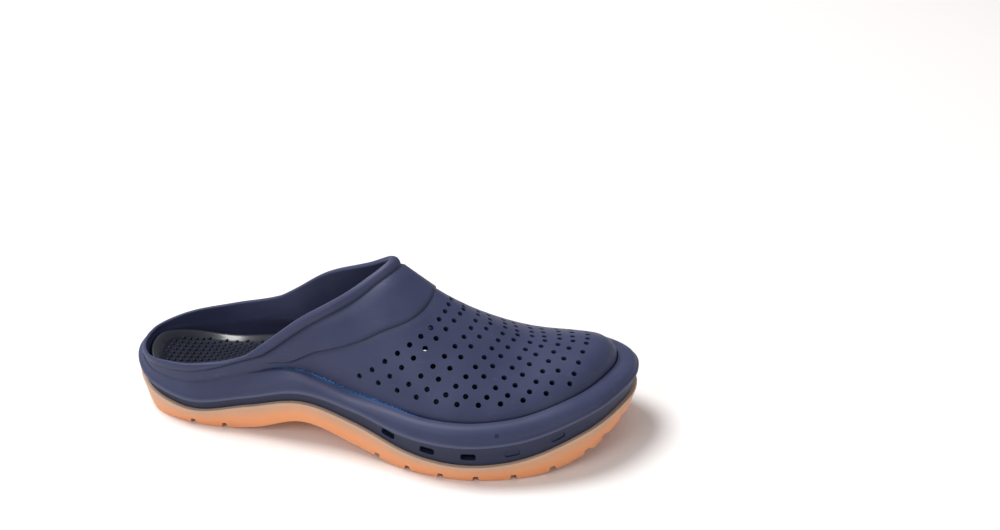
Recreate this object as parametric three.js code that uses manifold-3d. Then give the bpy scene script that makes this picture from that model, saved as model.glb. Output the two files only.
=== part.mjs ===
// Moulded garden clog, right foot, in millimetres: +X to the toe, -Y lateral side, +Z up.
// Origin: middle of the clog's box in plan, on the ground.
import * as THREE from 'three';
import { mergeVertices } from 'three/addons/utils/BufferGeometryUtils.js';
import Module from 'manifold-3d';

const wasm = await Module();
wasm.setup();

// ---- Overall sizes ----
const LENGTH = 277;            // heel to toe of the outline
const HEEL_WIDTH = 70;
const WAIST_WIDTH = 65;
const BALL_WIDTH = 107;
const TONGUE_HEIGHT = 95;      // highest point of the collar over the instep
const TOE_BOX_HEIGHT = 52.5;   // top of the vamp over the toes
const HEEL_RIM_HEIGHT = 29;    // collar edge at the back of the heel
const LATERAL_DIP = 4;         // collar edge on the lateral side, below the medial side

// ---- Moulded upper ----
const WALL = 3;                // vamp and collar wall
const RAND_WALL = 5;           // side wall beside the footbed
const FLOOR = 3.2;             // floor under the footbed
const RAND_INSET = 8;          // outline to the crease between rand and vamp
const CREASE_DEPTH = 1.1;
const RIDGE_PROUD = 1;
const RIM_BAND = 8;            // width of the thickened collar edge
const RIM_PROUD = 1.6;
const RIM_ROUND = 1.4;         // crown of the collar edge above its wall
const PANEL_PROUD = 0.7;       // collar panel above the vamp
const TONGUE_STATION = 0.535;  // share of the length where the collar edge peaks
const NOSE_LENGTH = 20;        // part of the toe box where the arched section closes
const CENTRE_Y = 2.5;          // middle of the heel, towards the medial side
const TOE_CENTRE_Y = 12;       // the same at the toe

// ---- Holes ----
const HOLE_DIAMETER = 3;
const HOLE_SIDES = 4;
const HOLE_ROWS = [10, 10, 9, 9, 9, 9, 8, 8, 7, 6, 5];   // holes from crease to centre line
const ROW_LOW_STATION = 0.5;   // rearmost row near the crease, and the step to the next row
const ROW_LOW_STEP = 0.039;
const ROW_HIGH_STATION = 0.645;  // the same on the centre line
const ROW_HIGH_STEP = 0.026;
const ROW_FIRST_SHARE = 0.16;  // how far up the vamp the rearmost row starts
const ROW_FIRST_GAIN = 0.2;    // how much further up the foremost one does
const ROW_SPREAD = 1.1;        // above 1, holes lie closer together near the crease
const ROW_STRAIGHTENING = 0.06;  // bow lost from each row to the next
const HALF_PITCH_SHARE = 0.92; // staggered rows stop half a pitch short of the centre line
const SLOT_LENGTH = 8;
const SLOT_HEIGHT = 3.8;
const SLOT_PITCH = 22;
const SLOT_COUNT = 5;
const SLOTS_OPEN = 3;          // the others are moulded shut
const BLIND_SLOT_DEPTH = 1;
const SLOT_FIRST_STATION = 0.565;
const SLOT_SILL = 0.3;         // above the floor inside

// ---- Outsole ----
const BOND_GAP = 0.3;          // between pieces that touch
const SOLE_PROUD = 0.5;
const SOLE_DRAFT = 2;
const ARCH_RISE = 11.5;
const TOE_SPRING = 14;
const LUG_DEPTH = 3.2;
const GROOVE_WIDTH = 3.2;
const GROOVE_LEAN = 5;         // how far a groove's ends trail its middle
const GROOVE_PITCH = 18.5;
const TOE_GROOVE_PITCH = 7;
const HEEL_TREAD = [0.155, 0.23];      // first and last station of each run of grooves
const FOREFOOT_TREAD = [0.545, 0.93];
const TOE_TREAD = [0.943, 0.98];

// ---- Footbed and label ----
const FOOTBED_CLEARANCE = 0.8; // to the walls
const FOOTBED_LIE = 0.55;      // above the floor, clear of its facets
const FOOTBED_THICKNESS = 4.3;
const FOOTBED_CUP = 3;         // how far its edge stands above its middle
const FOOTBED_EDGE = 12;       // width of the raised margin
const FOOTBED_TOE_GAP = 6;     // room inside the vamp for the footbed to tip up
const LABEL_DIAMETER = 15;
const LABEL_THICKNESS = 0.4;
const LABEL_GAP = 0.8;
const LABEL_STATION = 0.4;
const LABEL_SHARE = 0.17;

// ---- Mesh fineness ----
const STATIONS = 24;           // along the length, on each side

const PI = Math.PI;

// Smooth curve through a few [x, value] points, level between equal ones and beyond its ends.
function smooth(points) {
  const slope = points.map((p, i) => {
    const a = points[Math.max(i - 1, 0)];
    const b = points[Math.min(i + 1, points.length - 1)];
    const level = (a !== p && a[1] === p[1]) || (b !== p && b[1] === p[1]);
    return level ? 0 : (b[1] - a[1]) / (b[0] - a[0]);
  });
  return (x) => {
    if (x <= points[0][0]) return points[0][1];
    for (let i = 1; i < points.length; i++) {
      const [x0, y0] = points[i - 1];
      const [x1, y1] = points[i];
      if (x > x1) continue;
      const w = x1 - x0;
      const t = (x - x0) / w;
      const s = 1 - t;
      const ends = y0 * (1 + 2 * t) * s * s + y1 * (3 - 2 * t) * t * t;
      return ends + w * (slope[i - 1] * t * s * s - slope[i] * t * t * s);
    }
    return points[points.length - 1][1];
  };
}

// Bisection for a rising or falling function between two ends.
function solve(f, lo, hi) {
  const rising = f(hi) > f(lo);
  for (let i = 0; i < 50; i++) {
    const mid = (lo + hi) / 2;
    if ((f(mid) > 0) === rising) hi = mid;
    else lo = mid;
  }
  return (lo + hi) / 2;
}

// ---- Outline in plan, as shares of the length and of the widths ----
const H = HEEL_WIDTH / 2;
const W = WAIST_WIDTH / 2;
const B = BALL_WIDTH / 2;
const LATERAL = [
  [-0.5, 0.07 * H], [-0.48, -0.35 * H], [-0.44, -0.68 * H], [-0.36, -0.91 * H], [-0.23, -1.03 * W],
  [-0.1, -1.12 * W], [0.02, -0.82 * B], [0.13, -0.98 * B], [0.22, -B], [0.31, -0.88 * B],
  [0.38, -0.69 * B], [0.44, -0.41 * B], [0.48, -0.06 * B],
];
const MEDIAL = [
  [0.5, 0.27 * B], [0.49, 0.61 * B], [0.44, 0.86 * B], [0.36, 0.99 * B], [0.26, B],
  [0.16, 0.9 * B], [0.06, 0.72 * B], [-0.05, 0.97 * W], [-0.16, W], [-0.27, 1.06 * H],
  [-0.37, 1.08 * H], [-0.45, 0.9 * H], [-0.495, 0.53 * H],
];
const outlinePoints = [...LATERAL, ...MEDIAL].map(([x, y]) => new THREE.Vector3(x * LENGTH, y, 0));
const outline = new THREE.CatmullRomCurve3(outlinePoints, true, 'centripetal');
const outlinePoint = (t) => outline.getPoint(((t % 1) + 1) % 1);
const TOE_T = LATERAL.length / outlinePoints.length;

// The extreme heel and toe points of the closed curve.
function extreme(t, sign) {
  let best = t;
  for (let step = 0.02; step > 1e-6; step /= 2) {
    for (const d of [-step, step]) {
      if (sign * outlinePoint(best + d).x > sign * outlinePoint(best).x) best += d;
    }
  }
  return best;
}
const heelT = extreme(0, -1);
const toeT = extreme(TOE_T, 1);
const HEEL_X = outlinePoint(heelT).x;
const TOE_X = outlinePoint(toeT).x;

// Ring of stations: heel, along the lateral side to the toe, and back along the medial side.
const N = 2 * STATIONS;
const ringT = [];
for (let k = 0; k < N; k++) {
  const i = k <= STATIONS ? k : N - k;
  const x = HEEL_X + (TOE_X - HEEL_X) * (1 - Math.cos(PI * i / STATIONS)) / 2;
  if (k === 0) ringT.push(heelT);
  else if (k === STATIONS) ringT.push(toeT);
  else if (k < STATIONS) ringT.push(solve((t) => outlinePoint(t).x - x, heelT, toeT));
  else ringT.push(solve((t) => outlinePoint(t).x - x, toeT, heelT + 1));
}
const ringBase = ringT.map((t) => outlinePoint(t));
const ringNormal = ringT.map((t) => {
  const d = outlinePoint(t + 1e-4).sub(outlinePoint(t - 1e-4));
  return new THREE.Vector3(d.y, -d.x, 0).normalize();
});
const station = (x) => x / LENGTH + 0.5;

// ---- Heights along the length, by station: 0 at the heel, 1 at the toe ----
const soleBottom = smooth([
  [0, 6], [0.07, 0], [0.2, 0], [0.28, 0.25 * ARCH_RISE], [0.38, ARCH_RISE], [0.49, 0.45 * ARCH_RISE],
  [0.58, 0], [0.82, 0], [0.92, 0.3 * TOE_SPRING], [1, TOE_SPRING],
]);
const joint = smooth([
  [0, 19], [0.07, 13.5], [0.16, 10.5], [0.27, 17.5], [0.38, 25], [0.49, 20.5], [0.59, 13], [0.7, 10],
  [0.81, 12], [0.92, 20], [1, 25],
]);
const bandHeight = smooth([
  [0, 7], [0.27, 6.3], [0.4, 7.2], [0.59, 10.8], [0.7, 12.4], [0.81, 12.5], [1, 10],
]);
const shoulderHeight = smooth([
  [0, 2], [0.07, 6.5], [0.16, 11], [0.27, 12.7], [0.34, 11], [0.42, 6], [0.49, 4.6], [0.59, 8],
  [0.81, 8.8], [1, 5],
]);
const ridge = (s) => joint(s) + bandHeight(s);
const crease = (s) => ridge(s) + shoulderHeight(s);
const creaseInset = smooth([
  [0, 2.2], [0.16, 2.4], [0.27, 0.55 * RAND_INSET], [0.34, 0.9 * RAND_INSET], [0.42, RAND_INSET],
  [0.81, 1.08 * RAND_INSET], [1, 1.35 * RAND_INSET],
]);
const creaseFade = smooth([[0.26, 0], [0.36, 1]]);
const collarEdge = smooth([
  [0, HEEL_RIM_HEIGHT], [0.07, HEEL_RIM_HEIGHT + 4], [0.16, HEEL_RIM_HEIGHT + 9.5],
  [0.27, HEEL_RIM_HEIGHT + 21], [0.38, 0.76 * TONGUE_HEIGHT], [0.48, 0.9 * TONGUE_HEIGHT],
  [TONGUE_STATION, TONGUE_HEIGHT],
]);
const lateralDip = smooth([[0.1, 0], [0.3, LATERAL_DIP], [0.5, 0]]);
const vampTop = smooth([
  [0, 1.3 * TONGUE_HEIGHT], [0.25, 1.22 * TONGUE_HEIGHT], [0.4, 1.1 * TONGUE_HEIGHT],
  [0.48, 1.02 * TONGUE_HEIGHT], [TONGUE_STATION, TONGUE_HEIGHT], [0.58, 0.91 * TONGUE_HEIGHT],
  [0.63, 0.8 * TONGUE_HEIGHT], [0.7, 0.68 * TONGUE_HEIGHT], [0.79, 1.04 * TOE_BOX_HEIGHT],
  [0.88, 0.98 * TOE_BOX_HEIGHT], [1, 0.96 * TOE_BOX_HEIGHT],
]);
const spineY = smooth([[0, CENTRE_Y + 1], [0.7, CENTRE_Y + 2], [1, TOE_CENTRE_Y]]);
const squareness = smooth([[0.3, 2.4], [0.41, 1.9], [0.52, 1.52], [0.7, 1.58], [1, 1.75]]);
const rimFade = smooth([[0.1, 0.3], [0.32, 1]]);
const panelFade = smooth([[0.3, 0], [0.38, 1]]);
const floorTop = (s) => joint(s) + FLOOR;

// Station of the collar panel's front edge, by share of the way from the crease to the centre line.
const panelLine = smooth([[0, 0.345], [0.3, 0.473], [0.55, 0.573], [0.75, 0.609], [1, 0.615]]);

// ---- Rings ----
function ringAt(inset, height) {
  return ringBase.map((p, k) => {
    const s = station(p.x);
    const d = typeof inset === 'function' ? inset(s, k) : inset;
    const q = p.clone().addScaledVector(ringNormal[k], -d);
    q.z = height(s, q, k);
    return q;
  });
}
const flatRing = (inset, height) => ringAt(inset, (s, q) => height(station(q.x)));

// Closes stacked rings into one body; the first and last rings are capped by straight rungs.
function ringSolid(rings) {
  const position = rings.flat().flatMap((p) => [p.x, p.y, p.z]);
  const index = [];
  const last = (rings.length - 1) * N;
  for (let r = 0; r < rings.length - 1; r++) {
    for (let k = 0; k < N; k++) {
      const a = r * N + k;
      const b = r * N + (k + 1) % N;
      index.push(a, b, b + N, a, b + N, a + N);
    }
  }
  for (let k = 0; k < STATIONS; k++) {
    const m = (N - k) % N;
    const n = N - k - 1;
    if (k > 0) index.push(k, m, n, last + k, last + n, last + m);
    if (k < STATIONS - 1) index.push(k, n, k + 1, last + k, last + k + 1, last + n);
  }
  const geometry = new THREE.BufferGeometry();
  geometry.setAttribute('position', new THREE.Float32BufferAttribute(position, 3));
  geometry.setIndex(index);
  return geometry;
}

function toManifold(geometry) {
  const g = geometry.clone();
  g.deleteAttribute('normal');
  g.deleteAttribute('uv');
  const merged = mergeVertices(g, 1e-5);
  return new wasm.Manifold(new wasm.Mesh({
    numProp: 3,
    vertProperties: Float32Array.from(merged.attributes.position.array),
    triVerts: Uint32Array.from(merged.index.array),
  }));
}

function toGeometry(manifold) {
  const mesh = manifold.getMesh();
  const geometry = new THREE.BufferGeometry();
  geometry.setAttribute('position', new THREE.Float32BufferAttribute(mesh.vertProperties, 3));
  geometry.setIndex(Array.from(mesh.triVerts));
  geometry.computeVertexNormals();
  return geometry;
}

// ---- Vamp and collar surface: an arched section at each x ----
const creaseRing = ringAt((s) => creaseInset(s), (s) => crease(s));
const CREASE_TOE_X = creaseRing[STATIONS].x;
const CREASE_HEEL_X = creaseRing[0].x;
const sideOf = (k) => (k <= STATIONS ? -1 : 1);

function creaseY(x, side) {
  const from = side < 0 ? 0 : STATIONS;
  for (let i = 0; i < STATIONS; i++) {
    const a = creaseRing[(from + i) % N];
    const b = creaseRing[(from + i + 1) % N];
    if ((x - a.x) * (x - b.x) <= 0 && a.x !== b.x) {
      return a.y + (b.y - a.y) * (x - a.x) / (b.x - a.x);
    }
  }
  return creaseRing[x > 0 ? STATIONS : 0].y;
}

// Height of the vamp's centre line above the crease line, closing to zero at the toe.
function archHeight(x) {
  const s = station(x);
  const nose = Math.max(0, (x - (CREASE_TOE_X - NOSE_LENGTH)) / NOSE_LENGTH);
  const closing = Math.pow(Math.max(0, 1 - Math.pow(nose, 2.4)), 0.5);
  return (vampTop(s) - crease(s)) * closing;
}

// The vamp's centre line in plan: along the spine, then curving to the toe of the crease.
const TURN_X = 0.3 * LENGTH;
function centreY(x) {
  const turn = THREE.MathUtils.clamp((x - TURN_X) / (CREASE_TOE_X - TURN_X), 0, 1);
  return THREE.MathUtils.lerp(spineY(station(x)), creaseRing[STATIONS].y, turn * turn);
}

// Point of the surface: angle 0 at the crease, PI / 2 on the centre line.
function archPoint(x, angle, side) {
  const s = station(x);
  const e = 2 / squareness(s);
  const y = centreY(x) + (creaseY(x, side) - centreY(x)) * Math.pow(Math.max(0, Math.cos(angle)), e);
  return new THREE.Vector3(x, y, crease(s) + archHeight(x) * Math.pow(Math.max(0, Math.sin(angle)), e));
}

// Angle at which the section at x meets the collar edge.
function edgeAngle(x, side) {
  const s = station(x);
  const edge = collarEdge(s) - (side < 0 ? lateralDip(s) : 0);
  const part = (edge - crease(s)) / archHeight(x);
  return Math.asin(Math.pow(Math.min(1, Math.max(0, part)), squareness(s) / 2));
}
const TONGUE_X = (TONGUE_STATION - 0.5) * LENGTH;

// The collar edge of one side as a fine line, with its running length.
function edgeLine(side) {
  const line = [];
  const steps = 400;
  let run = 0;
  for (let i = 0; i <= steps; i++) {
    const x = CREASE_HEEL_X + (TONGUE_X - CREASE_HEEL_X) * Math.sin(PI / 2 * i / steps);
    const angle = i === steps ? PI / 2 : edgeAngle(x, side);
    const p = archPoint(x, angle, side);
    if (i > 0) run += p.distanceTo(line[i - 1].p);
    line.push({ p, x, angle, run });
  }
  return line;
}
const edges = { '-1': edgeLine(-1), '1': edgeLine(1) };

// Running length of the outline at each ring point, measured from the heel on its own side.
function outlineRun(k) {
  let run = 0;
  const step = k <= STATIONS ? 1 : -1;
  for (let i = step > 0 ? 0 : N; i !== k; i += step) {
    run += ringBase[(i + N) % N].distanceTo(ringBase[(i + step + N) % N]);
  }
  return run;
}
const lateralRun = outlineRun(STATIONS);
const medialRun = outlineRun(STATIONS + 1)
  + ringBase[STATIONS + 1].distanceTo(ringBase[STATIONS]);

// Where the meridian of ring point k ends on the collar edge.
function edgeOf(k) {
  const line = edges[sideOf(k)];
  const whole = sideOf(k) < 0 ? lateralRun : medialRun;
  const share = outlineRun(k) / whole;
  const total = line[line.length - 1].run;
  const run = Math.min(total, share * (whole - (whole - total) * share));
  const i = Math.max(1, line.findIndex((q) => q.run >= run - 1e-9));
  const a = line[i - 1];
  const b = line[i];
  const t = (run - a.run) / Math.max(1e-9, b.run - a.run);
  return { x: a.x + (b.x - a.x) * t, angle: a.angle + (b.angle - a.angle) * t };
}

// Meridian of ring point k from crease to collar edge, as a fine line of surface points.
function meridian(k) {
  const side = sideOf(k);
  const end = edgeOf(k);
  const start = creaseRing[k];
  const goal = archPoint(end.x, end.angle, side);
  const startAway = start.y - centreY(start.x);
  const goalAway = goal.y - centreY(goal.x);
  const front = THREE.MathUtils.smoothstep(start.x - end.x, 4, 40);
  const points = [];
  const steps = 60;
  let run = 0;
  for (let i = 0; i <= steps; i++) {
    const t = i / steps;
    const g = 1 - Math.cos(t * PI / 2);
    const mix = g + (t - g) * 0.5;
    const x = start.x + (goal.x - start.x) * (front * mix + (1 - front) * t);
    const away = startAway + (goalAway - startAway) * mix;
    const width = THREE.MathUtils.clamp(away / (creaseY(x, side) - centreY(x) || side), 0, 1);
    const planAngle = Math.acos(Math.pow(width, squareness(station(x)) / 2));
    const angle = i === steps ? end.angle : front * planAngle + (1 - front) * end.angle * t;
    const p = archPoint(x, angle, side);
    if (i > 0) run += p.distanceTo(points[i - 1].p);
    points.push({ p, run, onPanel: station(x) < panelLine(angle / (PI / 2)) });
  }
  return points;
}

function along(line, run) {
  const total = line[line.length - 1].run;
  const r = THREE.MathUtils.clamp(run, 0, total);
  const i = Math.max(1, line.findIndex((q) => q.run >= r - 1e-9));
  const a = line[i - 1];
  const b = line[i];
  return a.p.clone().lerp(b.p, THREE.MathUtils.clamp((r - a.run) / Math.max(1e-9, b.run - a.run), 0, 1));
}
const meridians = ringBase.map((p, k) => meridian(k));

// Ring of points a share of the way up, or a distance below the collar edge.
const meridianRun = (k) => meridians[k][meridians[k].length - 1].run;
const bandRun = (k) => meridianRun(k) - Math.min(RIM_BAND, 0.6 * meridianRun(k));
const panelRun = (k) => THREE.MathUtils.clamp(
  meridians[k].find((q) => q.onPanel).run, 0.15 * meridianRun(k), 0.9 * bandRun(k),
);
const surfaceRing = (runOf) => meridians.map((line, k) => along(line, runOf(k)));

function ringNormals(rings, r) {
  return rings[r].map((p, k) => {
    const across = rings[r][(k + 1) % N].clone().sub(rings[r][(k + N - 1) % N]);
    const up = rings[Math.min(r + 1, rings.length - 1)][k].clone().sub(rings[Math.max(r - 1, 0)][k]);
    return across.cross(up).normalize();
  });
}
const push = (ring, normals, d) => ring.map((p, k) => p.clone().addScaledVector(normals[k], d));

// ---- Upper: one moulded body, from the bond line up over the collar edge and down inside ----
function upperRings() {
  const between = (a, b, t) => a + (b - a) * t;
  const low = [
    flatRing(0.4, joint),
    ringAt(0, (s) => between(joint(s), ridge(s), 0.12)),
    ringAt(0, (s) => between(joint(s), ridge(s), 0.85)),
    ringAt(-RIDGE_PROUD, (s) => ridge(s)),
    ringAt((s) => 0.12 * creaseInset(s), (s) => between(ridge(s), crease(s), 0.2)),
    ringAt((s) => 0.3 * creaseInset(s), (s) => between(ridge(s), crease(s), 0.7)),
    ringAt((s) => 0.7 * creaseInset(s), (s) => crease(s) - 0.5),
    ringAt((s) => creaseInset(s) - 0.2, (s) => crease(s) - CREASE_DEPTH * creaseFade(s)),
  ];
  const shares = [0.06, 0.22, 0.45, 0.7, 0.97];
  const runs = [
    ...shares.map((f) => (k) => f * panelRun(k)),
    (k) => panelRun(k) + 0.04 * (bandRun(k) - panelRun(k)),
    (k) => between(panelRun(k), bandRun(k), 0.5),
    (k) => between(panelRun(k), bandRun(k), 0.95),
    (k) => bandRun(k) + 0.12 * (meridianRun(k) - bandRun(k)),
    (k) => meridianRun(k),
  ];
  const skin = runs.map(surfaceRing);
  const normals = skin.map((ring, r) => ringNormals(skin, r));
  const panel = (s) => PANEL_PROUD * panelFade(s);
  const rim = (s) => RIM_PROUD * rimFade(s);
  const flush = () => 0;
  const proud = [flush, flush, flush, flush, flush, panel, panel, panel, rim, rim];
  const outer = skin.map((ring, r) => ring.map((p, k) => (
    p.clone().addScaledVector(normals[r][k], proud[r](station(ringBase[k].x)))
  )));
  const edge = skin.length - 1;
  const crown = skin[edge].map((p, k) => {
    const up = p.clone().sub(along(meridians[k], meridianRun(k) - 1)).normalize();
    return p.clone().addScaledVector(normals[edge][k], (RIM_PROUD - WALL) / 2).addScaledVector(up, RIM_ROUND);
  });
  const inner = [edge, 8, 6, 4, 3, 2, 1].map((r) => push(skin[r], normals[r], -WALL));
  const inside = [
    ringAt((s) => creaseInset(s) + WALL, (s) => crease(s) - 1.5),
    ringAt(RAND_WALL, (s, q) => floorTop(station(q.x)) + 0.45 * (crease(s) - floorTop(s))),
    flatRing(RAND_WALL + 0.2, floorTop),
  ];
  return [...low, ...outer, crown, ...inner, ...inside];
}

// ---- Perforations: rows that fan from the collar panel to the toe, mirrored over the centre line ----
function surfacePoint(s, share, side) {
  const x = (s - 0.5) * LENGTH;
  return archPoint(x, share * PI / 2, side);
}

// Peg square to the vamp, longer than the wall is thick.
function holePeg(s, share, side) {
  const p = surfacePoint(s, share, side);
  const du = surfacePoint(s + 0.004, share, side).sub(surfacePoint(s - 0.004, share, side));
  const inward = Math.min(share, 0.98);
  const dv = surfacePoint(s, inward + 0.01, side).sub(surfacePoint(s, inward - 0.01, side));
  const normal = du.cross(dv).multiplyScalar(-side).normalize();
  const peg = new THREE.CylinderGeometry(HOLE_DIAMETER / 2, HOLE_DIAMETER / 2, 4 * WALL, HOLE_SIDES);
  peg.applyQuaternion(new THREE.Quaternion().setFromUnitVectors(new THREE.Vector3(0, 1, 0), normal));
  peg.translate(p.x - normal.x * WALL / 2, p.y - normal.y * WALL / 2, p.z - normal.z * WALL / 2);
  return toManifold(peg);
}

function perforations() {
  const cutters = [];
  HOLE_ROWS.forEach((count, row) => {
    const lowStation = ROW_LOW_STATION + row * ROW_LOW_STEP;
    const highStation = ROW_HIGH_STATION + row * ROW_HIGH_STEP;
    const first = ROW_FIRST_SHARE + ROW_FIRST_GAIN * Math.pow(row / HOLE_ROWS.length, 1.6);
    const bow = 1 - ROW_STRAIGHTENING * row;
    const onCentre = row % 2 === 1;
    const last = onCentre ? 1 : HALF_PITCH_SHARE;
    for (let i = 0; i < count; i++) {
      const f = i / (count - 1);
      const share = first + (last - first) * Math.pow(f, ROW_SPREAD);
      const forward = THREE.MathUtils.lerp(f, Math.sin(f * PI / 2), bow);
      const s = lowStation + (highStation - lowStation) * forward;
      const sides = onCentre && i === count - 1 ? [-1] : [-1, 1];
      for (const side of sides) cutters.push(holePeg(s, share, side));
    }
  });
  return cutters;
}

// Point and direction of the outline on one side at a station.
function outlineAt(s, side) {
  const x = (s - 0.5) * LENGTH;
  const from = side < 0 ? [heelT, toeT] : [toeT, heelT + 1];
  const t = solve((u) => outlinePoint(u).x - x, from[0], from[1]);
  const d = outlinePoint(t + 1e-4).sub(outlinePoint(t - 1e-4));
  return { p: outlinePoint(t), angle: Math.atan2(d.y, d.x) };
}

function drainSlots() {
  const cutters = [];
  for (const side of [-1, 1]) {
    for (let i = 0; i < SLOT_COUNT; i++) {
      const s = SLOT_FIRST_STATION + i * SLOT_PITCH / LENGTH;
      const { p, angle } = outlineAt(s, side);
      const depth = 2 * (i < SLOTS_OPEN ? RAND_WALL + 1.5 : BLIND_SLOT_DEPTH);
      const slot = new THREE.BoxGeometry(SLOT_LENGTH, depth, SLOT_HEIGHT);
      const tilt = (joint(s + 0.02) - joint(s - 0.02)) / (0.04 * LENGTH);
      slot.rotateY(-Math.atan(tilt) * Math.sign(Math.cos(angle)));
      slot.rotateZ(angle);
      slot.translate(p.x, p.y, floorTop(s) + SLOT_HEIGHT / 2 + SLOT_SILL);
      cutters.push(toManifold(slot));
    }
  }
  return cutters;
}

function upperShell() {
  const body = toManifold(ringSolid(upperRings()));
  const holes = wasm.Manifold.union([...perforations(), ...drainSlots()]);
  return toGeometry(body.subtract(holes));
}

// ---- Outsole: gum rubber, with cross grooves under heel and forefoot ----
function outsoleBody() {
  const wallFoot = (s) => soleBottom(s) + 0.35 * (joint(s) - soleBottom(s));
  return ringSolid([
    flatRing(SOLE_DRAFT, soleBottom),
    ringAt(0.45 * SOLE_DRAFT, (s) => wallFoot(s)),
    ringAt(-SOLE_PROUD, (s) => joint(s) - BOND_GAP - 1.2),
    flatRing(0, (s) => joint(s) - BOND_GAP),
  ]);
}

// A V-shaped cross groove, following the slope of the sole at its station.
function groove(s) {
  const x = (s - 0.5) * LENGTH;
  const reach = BALL_WIDTH;
  const shape = new THREE.Shape([
    [0, 0], [-GROOVE_LEAN, reach], [GROOVE_WIDTH - GROOVE_LEAN, reach],
    [GROOVE_WIDTH, 0], [GROOVE_WIDTH - GROOVE_LEAN, -reach], [-GROOVE_LEAN, -reach],
  ].map(([px, py]) => new THREE.Vector2(px, py)));
  const cut = new THREE.ExtrudeGeometry(shape, { depth: 4 * LUG_DEPTH, bevelEnabled: false });
  const slope = (soleBottom(s + 0.02) - soleBottom(s - 0.02)) / (0.04 * LENGTH);
  cut.translate(-GROOVE_WIDTH / 2, 0, -3 * LUG_DEPTH);
  cut.rotateY(-Math.atan(slope));
  cut.translate(x, 0, soleBottom(s));
  return toManifold(cut);
}

function outsole() {
  const stations = [];
  const treads = [[HEEL_TREAD, GROOVE_PITCH], [FOREFOOT_TREAD, GROOVE_PITCH], [TOE_TREAD, TOE_GROOVE_PITCH]];
  for (const [[from, to], pitch] of treads) {
    for (let s = from; s < to; s += pitch / LENGTH) stations.push(s);
  }
  const cuts = wasm.Manifold.union(stations.map(groove));
  return toGeometry(toManifold(outsoleBody()).subtract(cuts));
}

// ---- Footbed: a loose moulded insole with a raised, rounded edge ----
function footbed() {
  const room = smooth([
    [0.22, 0], [0.34, 0.3 * FOOTBED_TOE_GAP], [0.5, 0.5 * FOOTBED_TOE_GAP], [1, FOOTBED_TOE_GAP],
  ]);
  const wall = (s) => Math.max(RAND_WALL, creaseInset(s) + WALL);
  const edge = (extra) => (s) => wall(s) + FOOTBED_CLEARANCE + room(s) + extra;
  const base = (s) => floorTop(s) + FOOTBED_LIE;
  const middle = (s) => base(s) + FOOTBED_THICKNESS;
  const rimRing = flatRing(edge(0), middle);
  // Ring drawn in from the edge towards the footbed's own middle line.
  const drawnIn = (distance, rise) => rimRing.map((p, k) => {
    const i = THREE.MathUtils.clamp(k <= STATIONS ? k : N - k, STATIONS / 4, 3 * STATIONS / 4);
    const goal = rimRing[i].clone().lerp(rimRing[N - i], 0.5);
    const q = p.clone().lerp(goal, distance / Math.hypot(goal.x - p.x, goal.y - p.y));
    q.z = middle(station(q.x)) + rise;
    return q;
  });
  return toGeometry(toManifold(ringSolid([
    flatRing(edge(0.8), base),
    flatRing(edge(0), (s) => base(s) + 1.5),
    flatRing(edge(0.2), (s) => middle(s) + FOOTBED_CUP - 1),
    drawnIn(0.13 * FOOTBED_EDGE, FOOTBED_CUP),
    drawnIn(0.32 * FOOTBED_EDGE, 0.8 * FOOTBED_CUP),
    drawnIn(0.62 * FOOTBED_EDGE, 0.3 * FOOTBED_CUP),
    drawnIn(FOOTBED_EDGE, 0),
  ])));
}

// ---- Size label: a thin round sticker on the inside of the lateral wall ----
function sizeLabel() {
  const centre = { s: LABEL_STATION, share: LABEL_SHARE };
  const at = (s, share, depth) => {
    const p = surfacePoint(s, share, -1);
    const du = surfacePoint(s + 0.004, share, -1).sub(surfacePoint(s - 0.004, share, -1));
    const dv = surfacePoint(s, share + 0.01, -1).sub(surfacePoint(s, share - 0.01, -1));
    return p.addScaledVector(du.cross(dv).normalize(), -depth);
  };
  const perStation = LENGTH;
  const perShare = at(centre.s, centre.share + 0.05, 0).distanceTo(at(centre.s, centre.share - 0.05, 0)) * 10;
  const position = [];
  const index = [];
  const sides = 24;
  const radii = [0.5, 1];
  const ring = 1 + sides * radii.length;
  for (const depth of [WALL + LABEL_GAP, WALL + LABEL_GAP + LABEL_THICKNESS]) {
    position.push(...at(centre.s, centre.share, depth).toArray());
    for (const r of radii) {
      for (let i = 0; i < sides; i++) {
        const a = 2 * PI * i / sides;
        const d = r * LABEL_DIAMETER / 2;
        const s = centre.s + d * Math.cos(a) / perStation;
        const share = centre.share + d * Math.sin(a) / perShare;
        position.push(...at(s, share, depth).toArray());
      }
    }
  }
  for (let i = 0; i < sides; i++) {
    const j = (i + 1) % sides;
    const [a, b, c, d] = [1 + i, 1 + j, 1 + sides + i, 1 + sides + j];
    index.push(0, a, b, a, c, d, a, d, b);
    index.push(ring, ring + b, ring + a, ring + a, ring + d, ring + c, ring + a, ring + b, ring + d);
    index.push(c, ring + c, ring + d, c, ring + d, d);
  }
  const geometry = new THREE.BufferGeometry();
  geometry.setAttribute('position', new THREE.Float32BufferAttribute(position, 3));
  geometry.setIndex(index);
  return geometry;
}

function part(name, geometry, color, roughness) {
  const material = new THREE.MeshStandardMaterial({ color, roughness, metalness: 0 });
  const mesh = new THREE.Mesh(geometry, material);
  mesh.name = name;
  return mesh;
}

const clog = new THREE.Group();
clog.add(part('upper_shell', upperShell(), 0x363a5a, 0.45));
clog.add(part('outsole', outsole(), 0xd08a5c, 0.6));
clog.add(part('footbed', footbed(), 0x1c1d2e, 0.7));
clog.add(part('size_label', sizeLabel(), 0x8f9194, 0.5));

// The origin is the middle of the clog's box in plan, at ground level.
const box = new THREE.Box3().setFromObject(clog);
const middle = box.getCenter(new THREE.Vector3());
clog.position.set(-middle.x, -middle.y, -box.min.z);
export default clog;
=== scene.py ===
# Moulded rubber garden clog, right foot: a studio, then the clog as it is put together, from the
# moulded upper and its gum outsole to the loose footbed and the size sticker inside.
import math

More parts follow.
